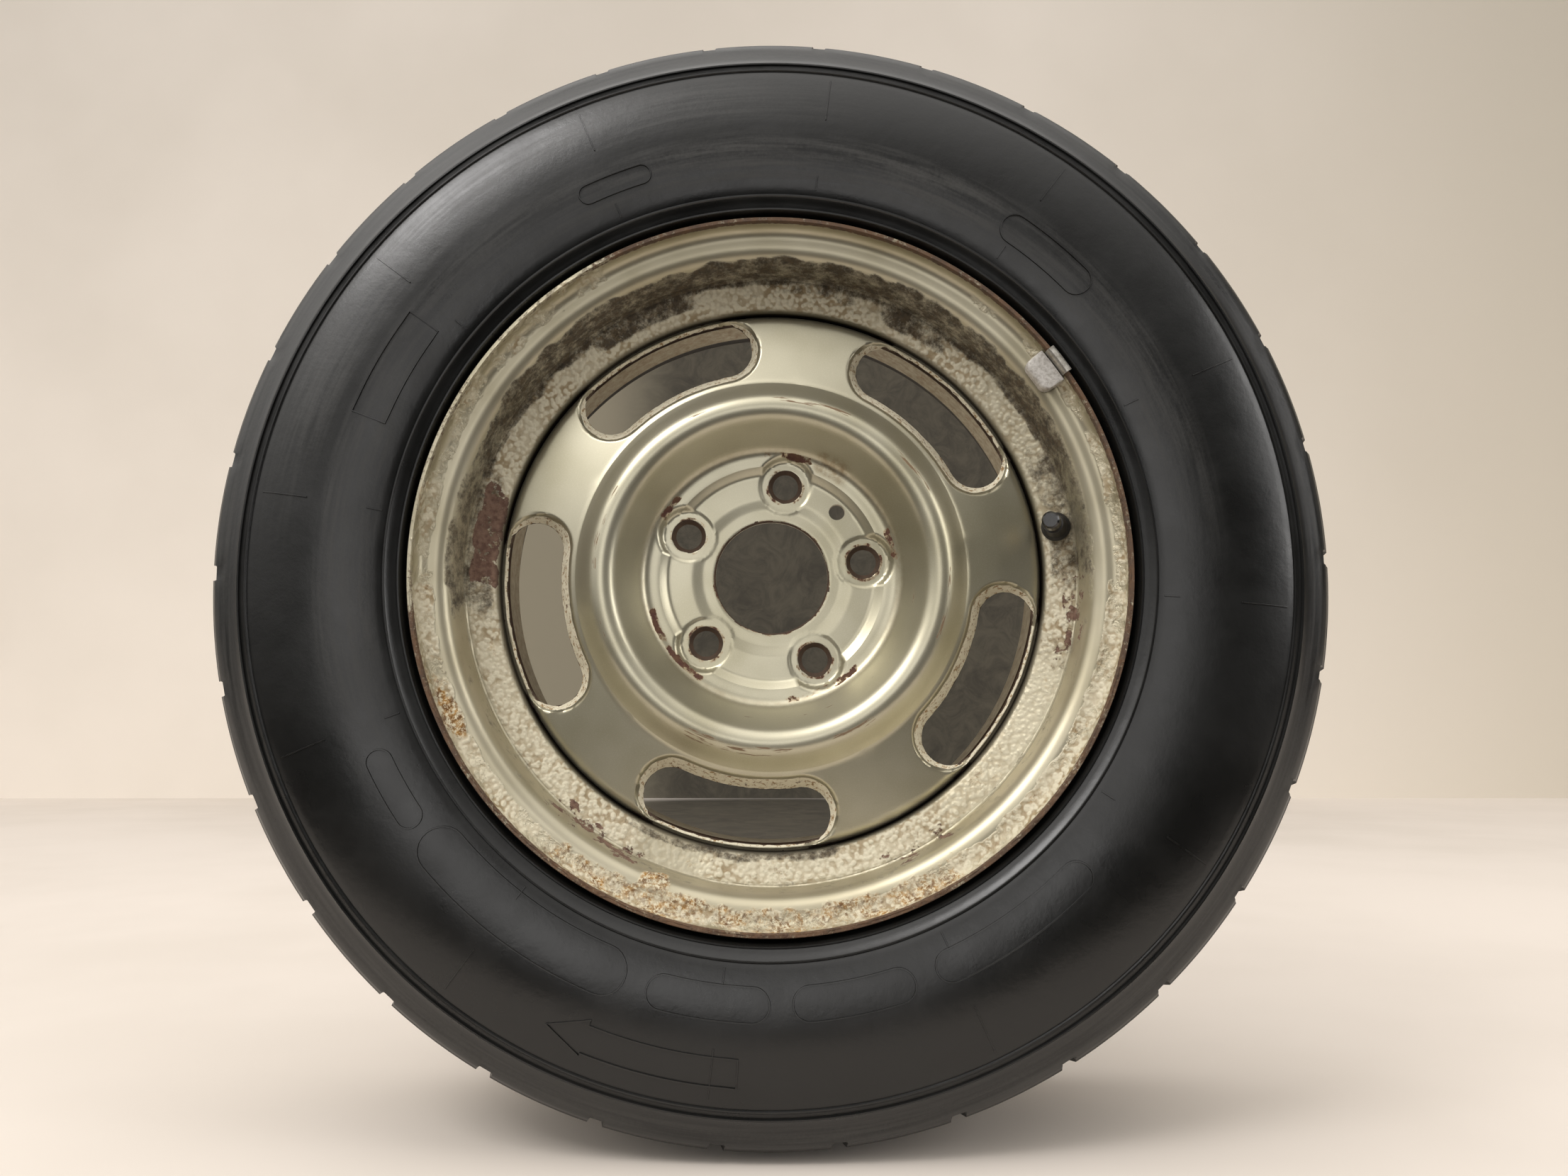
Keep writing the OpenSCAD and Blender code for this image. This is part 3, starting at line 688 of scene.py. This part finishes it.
def build_rim():
    """The rim's sheet turned all the way round, with its blisters raised."""
    half = [(194.1, LIP_D, 0), (FLANGE_R, HALF_W, 9.5), (SEAT_R, HALF_W, 6.5), (175.67, 50.05, 4),
            (176.87, 46.85, 3.4)]
    other = [(p[0], -p[1], p[2]) for p in reversed(half)]
    corners = half + [(174.4, 42.62, 3.4), (WELL_R, 37, 3.2), (WELL_R, -10, 12), (174.4, -28, 14),
                      (174.4, -42.85, 3.4)] + other
    tyre_side = rounded(corners, 3)
    near_side = beside(rounded(corners, 7), -RIM_T)
    plain_side = beside(tyre_side, -RIM_T)
    end = (tyre_side[0] + near_side[0]) / 2
    caps = [end + np.array([s * 0.85, 0.75]) for s in (-1, 1)]
    far = (tyre_side[-1] + plain_side[-1]) / 2
    far_caps = [far + np.array([s * 0.85, -0.75]) for s in (1, -1)]
    seen = spaced(near_side, 1.6)
    front = seen[seen[:, 1] > 34]
    behind = spaced(plain_side[plain_side[:, 1] <= 34], 8)
    loop = np.vstack([spaced(tyre_side, 9), far_caps, behind[::-1], front[::-1], caps])
    columns = 560
    turns = np.radians(np.arange(columns) * 360 / columns)
    x = loop[:, 0][:, None] * np.cos(turns)
    y = loop[:, 0][:, None] * np.sin(turns)
    d = np.repeat(loop[:, 1][:, None], columns, axis=1)
    points = stand(x, y, d).reshape(-1, 3)
    r, turn = polar(points)
    d = d.reshape(-1)
    first = len(loop) - len(front) - 2
    visible = np.zeros(len(points), bool)
    visible[first * columns:] = True
    wide = lumps(points, 22, 1.3)
    rw, tw = wander(points, r, turn)
    mid = lumps(points, 6, 5.2)
    fine = lumps(points, 2.6, 9.4)

    well = span(r, 157.5, 171.8, 1.5) * visible * (d > 36)
    smooth = np.maximum(np.maximum(sector(turn, 12, 40, 6) * 0.6, sector(turn, 246, 256, 4)),
                        sector(turn, 308, 343, 5) * 0.8)
    blister = well * (1 - 0.8 * smooth)
    coarse = 1 + 0.7 * sector(turn, 190, 350, 25)
    lift = blister * coarse * (0.35 * np.clip(mid + 0.2, 0, 1) + 0.40 * np.clip(fine + 0.05, 0, 1))
    toward_axis = -0.3 * points[:, [0, 2]] / (r * MM)[:, None]
    out = np.stack([toward_axis[:, 0], np.full(len(r), -0.95), toward_axis[:, 1]], axis=1)
    points += out * lift[:, None] * MM

    seat = visible * (d > 36) * (d < 75)
    # Dirt patches on the seat and the well; the two wide rows over the top, 40 to 140 and 20 to 160 degrees,
    # are painted shade.
    dirt_and_shade = strongest(tw, rw, (
        (57, 66, 9, 162, 175.5, 3.5, 0.64), (108, 125, 9, 163, 175, 3.5, 0.66),
        (75, 85, 9, 166, 174, 3.5, 0.55), (0, 24, 9, 160, 176, 3.5, 0.55),
        (163, 186, 9, 160, 176, 3.5, 0.58), (40, 140, 9, 170.5, 175, 3.5, 0.6),
        (243, 282, 9, 157, 160, 3.5, 0.6), (30, 160, 9, 156, 160, 3.5, 0.35),
        (340, 360, 9, 165, 175, 3.5, 0.4), (20, 160, 15, 171, 175.5, 2, 0.64)))
    # painted shade: a darker ring all round in the concave corner at the foot of the seat
    dirt_and_shade = np.maximum(dirt_and_shade, 0.42 * span(rw, 171.5, 174.5, 1.5)) * seat
    # painted shade: the barrel inboard of 40 mm, behind the disc, darkened to nearly black
    shade = np.clip((40 - d) / 3, 0, 1) * (r < 176)
    ochre = strongest(tw, rw, (
        (185, 355, 20, 184, 192, 3, 0.34), (235, 300, 12, 182, 192, 4, 0.5), (202, 207, 3, 185, 190, 3, 0.9),
        (249, 251, 2, 174, 190, 3, 0.55), (190, 340, 20, 160, 172, 3, 0.30))) * visible
    bare = strongest(tw, rw, (
        (163.5, 181, 3, 156.5, 170.5, 2.5, 0.60), (227, 244, 6, 169, 174.5, 2.5, 0.47),
        (288, 304, 6, 168, 173.5, 2.5, 0.47), (346, 360, 6, 166, 173, 2.5, 0.45))) * visible
    bare = np.clip(bare + 0.10 * wide * (bare > 0.05), 0, 1)
    edge = 0.62 * span(d, 80.3, 90, 1.2) + 0.10 * span(d, 77, 82, 2)
    edge *= 1 - 0.35 * sector(turn, 125, 180, 10)
    outer_ring = 0.52 * span(rw, 187, 192.5, 2) * (1 - 0.5 * sector(tw, 60, 110, 15))
    flange = strongest(tw, rw, ((185, 355, 15, 183, 192.5, 2, 0.62), (120, 185, 10, 185, 192.5, 2, 0.5)))
    flange = np.maximum(flange, outer_ring) * visible
    masks = {"blister": blister, "dirt_and_shade": dirt_and_shade, "ochre": ochre, "bare": bare, "shade": shade,
             "flange": flange, "edge": np.clip(edge + 0.12 * wide * (edge > 0.05), 0, 1)}
    return new_mesh("rim_shell", points, ring_faces(len(loop), columns), 40, masks)


def build_weight():
    """The balance weight's block, with its lower corners rounded off."""
    turns = np.radians(np.linspace(-90, -20, 8))
    seat = CURL + 5.75 * np.stack([np.cos(turns), np.sin(turns)], axis=1)
    front = rounded([(189.97, 80.55, 0), (188.37, 80.6, 1.5), (WEIGHT_LOW_R, 79.6, 2),
                     (WEIGHT_LOW_R, 74.6, 0)], 6)
    section = np.vstack([[(WEIGHT_LOW_R, WEIGHT_BACK_D)], seat, front])
    half, corner, top = 10.0, 4.5, 190.2
    at = np.concatenate([[-half, -half + 0.2, -half + 0.5], np.linspace(-half + 1, half - 1, 25),
                         [half - 0.5, half - 0.2, half]])
    rows = []
    for u in at:
        over = max(abs(u) - (half - corner), 0.0)
        low = WEIGHT_LOW_R + corner - math.sqrt(max(corner ** 2 - over ** 2, 0.0))
        r = top - (top - section[:, 0]) * (top - low) / (top - WEIGHT_LOW_R)
        thin = 1 - 0.14 * (max(abs(u) - (half - 0.6), 0.0) / 0.6) ** 2
        turn = math.radians(WEIGHT_AT) + u / CURL[0]
        d = WEIGHT_BACK_D + (section[:, 1] - WEIGHT_BACK_D) * thin
        rows.append(stand(r * math.cos(turn), r * math.sin(turn), d))
    n = len(section)
    faces = [(i * n + j, i * n + (j + 1) % n, (i + 1) * n + (j + 1) % n, (i + 1) * n + j)
             for i in range(len(at) - 1) for j in range(n)]
    faces += [tuple(range(n)), tuple(range((len(at) - 1) * n, len(at) * n))[::-1]]
    return new_mesh("weight_block", np.vstack(rows), faces, 35)


# Tyre

def side_d(r):
    """Outboard distance of the sidewall at a radius."""
    middle = (SIDE_LOW_R + SIDE_HIGH_R) / 2
    return 93.5 - 6.9 * ((r - middle) / (SIDE_HIGH_R - middle)) ** 2


def tread_r(d):
    """Radius of the blocks' tops at an outboard distance."""
    return SEAT_R + 129.9 - 5.6 * (d / TREAD_HALF_W) ** 2


def tyre_line():
    """The outside of one half of the tyre from its bead to the middle of the tread."""
    arc = [CURL + 9.8 * np.array([math.cos(math.radians(a)), math.sin(math.radians(a))])
           for a in range(-90, -30, 9)]
    wall = [(r, side_d(r)) for r in np.arange(SIDE_LOW_R + 3, SIDE_HIGH_R - 8.5, 2.2)]

    def ridge(r):
        d = side_d(r)
        high = 0.75
        half_w = 0.9
        return [(r - half_w, d), (r - 0.4 * half_w, d + high), (r + 0.4 * half_w, d + high), (r + half_w, d)]

    bead = rounded([(176.1, 51.85, 0), (SEAT_R + 0.3, HALF_W - 0.3, 6.8), (CURL[0], HALF_W - 0.3, 0)], 5)
    line = list(bead) + arc
    line += [(FLANGE_R + 1.9, HALF_W + 9.1), (FLANGE_R + 2.4, LIP_D + 1.1), (FLANGE_R + 3.0, LIP_D + 2.1),
             (FLANGE_R + 3.8, LIP_D + 2.1), (FLANGE_R + 4.3, LIP_D + 1.4), (FLANGE_R + 6, LIP_D + 2.2)]
    line += ridge(SIDE_LOW_R) + wall + ridge(SIDE_HIGH_R - 6) + ridge(SIDE_HIGH_R - 1.5)
    line += [(SIDE_HIGH_R + 2.4, TREAD_HALF_W + 12.3), (SIDE_HIGH_R + 6.3, TREAD_HALF_W + 10.3),
             (SIDE_HIGH_R + 10.2, TREAD_HALF_W + 8.6), (SIDE_HIGH_R + 14.2, TREAD_HALF_W + 6.6),
             (299.3, 76.6), (300.9, 74.4)]
    deep = 8.0
    cuts = []
    for middle in (46.0, 16.0):
        cuts += [(middle + 4.05, 0.0), (middle + 3.9, 0.6), (middle + 3.5, deep), (middle, deep),
                 (middle - 3.5, deep), (middle - 3.9, 0.6), (middle - 4.05, 0.0)]
    tread = [(d, 0.0) for d in (73, 69, 63, 57, 53, 39, 34, 29, 24, 9, 5, 0)] + cuts
    line += [(tread_r(d) - depth, d) for d, depth in sorted(tread, reverse=True)]
    return np.array(line, float)


def build_tyre():
    """The tyre turned round its axis, with its cross grooves sunk in and leaned over."""
    half = tyre_line()
    other = half[:-1][::-1] * np.array([1, -1])
    outside = np.vstack([half, other])
    inside = rounded([(176.1, 51.85, 0), (183.4, 51.35, 3), (201, 81.5, 12), (234, 86.5, 60),
                      (279.3, 81.5, 30), (294.6, 74, 14), (294.6, 0, 0)], 1)
    inside = np.vstack([inside[1:], inside[1:-1][::-1] * np.array([1, -1])])
    loop = np.vstack([outside, inside[::-1]])
    steps = np.array([0.0, 0.058, 0.066, 0.16, 0.256, 0.352, 0.448, 0.456, 0.5, 0.544, 0.552, 0.68, 0.81,
                      0.934, 0.942])
    pitch = 360 / PITCHES
    turns = (np.arange(PITCHES)[:, None] + steps).reshape(-1) * pitch
    columns = len(turns)
    r = np.repeat(loop[:, 0][:, None], columns, axis=1)
    d = np.repeat(loop[:, 1][:, None], columns, axis=1)
    base = np.repeat(turns[None, :], len(loop), axis=0)
    on_tread = (np.arange(len(loop)) < len(outside))[:, None] & (r > 285)
    # Every column leans with the grooves: one way across the shoulders and the other across the inner blocks
    reach = np.clip((r - 284) / 10, 0, 1) * on_tread
    across = np.abs(d)
    lean = np.interp(across, [0, 12, 20, 42, 50, 84], [0, 0, 0, -6.5, 0, 5.2])
    side = np.sign(d)
    slide = lean / 303 * 180 / math.pi * reach
    at = base + slide
    # Depth of the cross grooves at each point, by the place of its column in the pitch
    part = (base / pitch) % 1
    other_side = side < 0
    shoulder_at = np.where(other_side, 0.5, 0.0)
    block_at = np.where(other_side, 0.0, 0.5)
    gap = np.abs((part - shoulder_at + 0.5) % 1 - 0.5) * 63.5
    shoulder = np.clip((4.15 - gap) / 0.5, 0, 1) * (across > 44)
    gap = np.abs((part - block_at + 0.5) % 1 - 0.5) * 63.5
    block = np.clip((3.45 - gap) / 0.5, 0, 1) * (across < 48) * (across > 14)
    shoulder_floor = 297.9 + 0.062 * (across - 46) - 3.2 - np.clip(across - 80, 0, None) * 0.2
    floor = np.where(across > 44, shoulder_floor, 300.3)
    cut = np.maximum(shoulder * (across > 44), block) * on_tread
    r = r - cut * np.clip(r - floor, 0, None)
    angle = np.radians(at)
    points = stand(r * np.cos(angle), r * np.sin(angle), d).reshape(-1, 3)
    rr, turn = polar(points)
    dd = d.reshape(-1)
    outer = np.repeat((np.arange(len(loop)) < len(outside))[:, None], columns, axis=1).reshape(-1)
    dust = strongest(turn, rr, ((62, 112, 14, 216, 232, 5, 0.55), (20, 190, 25, 214, 236, 6, 0.32),
                                (95, 160, 20, 250, 268, 8, 0.30)))
    dust = np.maximum(dust, 0.35 * span(rr, 287, 310, 3)) * outer
    tread = span(rr, 296, 310, 3) * (np.abs(dd) < 76) * outer
    masks = {"dust": dust, "tread": tread}
    return new_mesh("tyre_body", points, ring_faces(len(loop), columns), 38, masks)


def marks():
    """Ridges moulded on the outer sidewall: seams of the mould, empty panels and an arrow."""
    points, faces = [], []

    def ridge(path, closed=False, width=1.1, height=0.8):
        """A low ridge along (radius, angle) points on the sidewall."""
        path = np.array(path, float)
        r = path[:, 0]
        a = np.radians(path[:, 1])
        flat = np.stack([r * np.cos(a), r * np.sin(a)], axis=1)
        ahead = np.roll(flat, -1, axis=0) - np.roll(flat, 1, axis=0)
        if not closed:
            ahead[0] = flat[1] - flat[0]
            ahead[-1] = flat[-1] - flat[-2]
        ahead /= np.linalg.norm(ahead, axis=1)[:, None]
        left = np.stack([-ahead[:, 1], ahead[:, 0]], axis=1)
        start = sum(len(p) for p in points)
        rows = []
        for shift, rise in ((-0.5, -0.4), (-0.28, 1.0), (0.28, 1.0), (0.5, -0.4)):
            at = flat + left * shift * width
            rows.append(np.column_stack([at, side_d(np.hypot(at[:, 0], at[:, 1])) + rise * height]))
        body = np.stack(rows, axis=1)
        n = len(body)
        points.append(body.reshape(-1, 3))
        for i in range(n if closed else n - 1):
            k = (i + 1) % n
            for j in range(4):
                m = (j + 1) % 4
                faces.append((start + i * 4 + j, start + i * 4 + m, start + k * 4 + m, start + k * 4 + j))
        if not closed:
            faces.append((start, start + 1, start + 2, start + 3))
            faces.append((start + 4 * n - 4, start + 4 * n - 3, start + 4 * n - 2, start + 4 * n - 1))

    def arc(r, a, b, steps):
        return [(r, a + (b - a) * k / steps) for k in range(steps + 1)]

    def capsule(low, high, a, b):
        """A long panel with round ends, between two radii and two angles."""
        middle = (low + high) / 2
        radius = (high - low) / 2
        inset = math.degrees(radius / middle)
        path = arc(high, a + inset, b - inset, 16)
        for k in range(1, 12):
            t = math.pi / 2 - math.pi * k / 12
            along = math.degrees(radius * math.cos(t) / middle)
            path.append((middle + radius * math.sin(t), b - inset + along))
        path += arc(low, b - inset, a + inset, 16)
        for k in range(1, 12):
            t = -math.pi / 2 - math.pi * k / 12
            along = math.degrees(radius * math.cos(t) / middle)
            path.append((middle + radius * math.sin(t), a + inset + along))
        ridge(path, True)

    for k, at in enumerate((24, 53.5, 83, 113, 142, 172, 202, 233, 263.5, 294.5, 325, 355)):
        ridge([(r, at) for r in np.linspace(247, 272, 8)], width=0.9, height=0.5)
        ridge([(r, at + 0.2) for r in np.linspace(208.5, 216, 4)], width=1.0, height=0.6)
    capsule(220, 233, 205.7, 217)
    capsule(216.5, 233.5, 254, 270)
    capsule(216.5, 233.5, 273, 289)
    capsule(217, 233, 292, 316)
    capsule(212, 236, 218.5, 251)
    capsule(218.5, 234, 41, 56)
    capsule(221, 231, 107, 117.5)
    frame_path = arc(237, 145, 160, 10) + arc(219, 160, 145, 10)
    ridge(frame_path, True)
    arrow = arc(265.5, 249, 266.4, 14) + arc(251, 266.4, 249, 14)
    arrow += [(248, 249), (258.8, 244.4), (267, 249)]
    ridge(arrow, True)
    body = np.vstack(points)
    return new_mesh("sidewall_marks", stand(body[:, 0], body[:, 1], body[:, 2]), faces, 60,
                    {"dust": np.full(len(body), 0.15), "tread": np.zeros(len(body))})


# Scene

disc = build_disc()
rim_shell = build_rim()
tyre_body = build_tyre()
sidewall_marks = marks()

disc.data.materials.append(paint_material())
rim_shell.data.materials.append(rim_material())
rubber = tyre_material()
tyre_body.data.materials.append(rubber)
sidewall_marks.data.materials.append(rubber)
stand_ins = ((disc, "wheel_disc", "paint"), (rim_shell, "rim", "paint"), (tyre_body, "tyre", "tyre"))
for piece, node, slot in stand_ins:
    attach(piece, "wheel")
    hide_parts(node)
weight_block = build_weight()
weight_block.data.materials.append(
    plain_material("weight_paint", rgb(198, 194, 188), rgb(158, 152, 144), 0.45, 0.3, 0.5, 0.3))
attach(weight_block, "wheel")
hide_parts("balance_weight")
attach(sidewall_marks, "wheel")

black_rubber = plain_material("valve_rubber", rgb(30, 29, 28), rgb(44, 42, 40), 0.45, bump=0.1)
brass = plain_material("brass_turned", rgb(190, 160, 98), rgb(150, 120, 70), 0.3, 1.0)
zinc = plain_material("zinc_steel", rgb(186, 182, 174), rgb(140, 134, 124), 0.35, 0.9, 0.4)
finishes = {
    "weld_seams": plain_material("weld_bead", rgb(132, 118, 94), rgb(88, 66, 44), 0.6, 0.2, 0.3, 0.5),
    "valve_stem": black_rubber,
    "valve_insert": brass,
    "core_plug": brass,
    "core_barrel": brass,
    "pin_cup": brass,
    "core_pin": zinc,
    "core_spring": zinc,
    "weight_clip": zinc,
    "barrel_gasket": plain_material("red_gasket", rgb(150, 50, 40), rgb(110, 36, 30), 0.5),
    "cup_washer": black_rubber,
    "cap_seal": black_rubber,
    "valve_cap": plain_material("cap_gloss", rgb(16, 16, 16), rgb(34, 32, 30), 0.16, 0.0, 0.8, 0.1, 0.4),
}
for name, mat in finishes.items():
    mesh = nodes[name].data
    mesh.materials.clear()
    mesh.materials.append(mat)


def stage_plane(name, corners, mat):
    """A flat piece of the stage through four corners."""
    mesh = bpy.data.meshes.new(name)
    mesh.from_pydata(corners, [], [(0, 1, 2, 3)])
    mesh.materials.append(mat)
    plane = bpy.data.objects.new(name, mesh)
    bpy.context.scene.collection.objects.link(plane)


FLOOR_Z = -0.3076
WALL_Y = 2.8


def seen_as(n, colour, share):
    """Shows a stage surface at its own colour where it is looked at or mirrored, and keeps its shadow."""
    rays = n.add("ShaderNodeLightPath")
    direct = n.most(rays.outputs["Is Camera Ray"], rays.outputs["Is Glossy Ray"])
    seen = n.most(direct, rays.outputs["Is Transmission Ray"])
    n.feed(n.shader.inputs["Emission Color"], colour)
    n.feed(n.shader.inputs["Emission Strength"], n.times(seen, share))


def painted_shadow_patch(n, tone, middle, size):
    """A soft grey patch of painted shadow in a stage surface, where only the wheel's openings show it from
    the front.
    """
    off = n.add("ShaderNodeVectorMath", operation="DISTANCE")
    n.feed(off.inputs[0], n.place)
    off.inputs[1].default_value = middle
    parts = n.add("ShaderNodeSeparateXYZ")
    n.feed(parts.inputs[0], n.place)
    grey = n.mix(n.step(n.noise(0.012, 5, 0.7, 1.5), 0.3, 0.7), rgb(54, 50, 42), rgb(74, 69, 58))
    # painted shadow made lighter towards the left
    grey = n.mix(n.step(parts.outputs[0], -0.3, -0.6), grey, rgb(128, 121, 104))
    return n.mix(n.step(off.outputs["Value"], size + 0.15, size - 0.15), tone, grey)


def floor_material():
    n = Net("floor_pale")
    tone = n.mix(n.step(n.noise(0.0012, 4), 0.35, 0.7), rgb(226, 217, 208), rgb(216, 207, 197))
    # painted shadow behind the wheel, seen through its lower openings
    tone = painted_shadow_patch(n, tone, (0.0, 2.0, FLOOR_Z), 0.85)
    seen_as(n, tone, 0.02)
    return n.finish(tone, 0.7)


def wall_material():
    n = Net("wall_pale")
    tone = n.mix(n.step(n.noise(0.0006, 4), 0.3, 0.75), rgb(226, 217, 206), rgb(214, 205, 193))
    across = n.add("ShaderNodeSeparateXYZ")
    n.feed(across.inputs[0], n.place)
    # painted shade: the wall darker towards the right
    tone = n.mix(n.step(across.outputs[0], 0.6, 2.8), tone, rgb(198, 189, 174))
    # painted shadow behind the wheel, seen through its openings
    tone = painted_shadow_patch(n, tone, (0.0, WALL_Y, 0.34), 1.0)
    seen_as(n, tone, 0.26)
    return n.finish(tone, 0.8)


stage_plane("floor", [(-8, -0.4, FLOOR_Z), (8, -0.4, FLOOR_Z), (8, WALL_Y, FLOOR_Z), (-8, WALL_Y, FLOOR_Z)],
            floor_material())
stage_plane("wall", [(-8, WALL_Y, FLOOR_Z), (8, WALL_Y, FLOOR_Z), (8, WALL_Y, 6), (-8, WALL_Y, 6)],
            wall_material())


def lamp(name, at, to, size, watts, colour):
    """A soft lamp at one place that faces another."""
    data = bpy.data.lights.new(name, "AREA")
    data.shape = "RECTANGLE"
    data.size, data.size_y = size
    data.energy = watts
    data.color = colour
    holder = bpy.data.objects.new(name, data)
    holder.location = at
    holder.rotation_euler = (Vector(to) - Vector(at)).to_track_quat("-Z", "Y").to_euler()
    bpy.context.scene.collection.objects.link(holder)


lamp("key", (-1.25, -1.45, 1.75), (0, 0, 0), (1.1, 0.8), 29, (1.0, 0.98, 0.97))
lamp("front", (-0.25, -2.0, 0.1), (0, 0, 0), (0.9, 0.7), 4.5, (1.0, 0.98, 0.96))
lamp("side", (1.9, -1.0, 0.7), (0, 0, 0), (0.5, 1.1), 12, (1.0, 0.98, 0.96))

world = bpy.data.worlds.new("room")
world.use_nodes = True
tree = world.node_tree
sky = tree.nodes.new("ShaderNodeTexCoord")
toward = tree.nodes.new("ShaderNodeVectorMath")
toward.operation = "DOT_PRODUCT"
toward.inputs[1].default_value = (-0.30, -0.12, 0.94)
tree.links.new(sky.outputs["Generated"], toward.inputs[0])
level = tree.nodes.new("ShaderNodeMapRange")
level.interpolation_type = "SMOOTHSTEP"
level.inputs["From Min"].default_value = 0.15
level.inputs["From Max"].default_value = 0.95
level.inputs["To Min"].default_value = 0.03
level.inputs["To Max"].default_value = 1.9
tree.links.new(toward.outputs["Value"], level.inputs["Value"])
tree.nodes["Background"].inputs[0].default_value = (1.0, 0.97, 0.93, 1)
tree.links.new(level.outputs["Result"], tree.nodes["Background"].inputs[1])
bpy.context.scene.world = world
bpy.context.scene.view_settings.view_transform = "Standard"

lens = bpy.data.cameras.new("camera")
lens.sensor_width = 36
lens.lens = 26.0
lens.clip_start = 0.01
camera = bpy.data.objects.new("camera", lens)
camera.location = (0.0072, -0.681, -0.0846)
camera.rotation_euler = (math.radians(90 + 6.85), 0, 0)
bpy.context.scene.collection.objects.link(camera)
bpy.context.scene.camera = camera
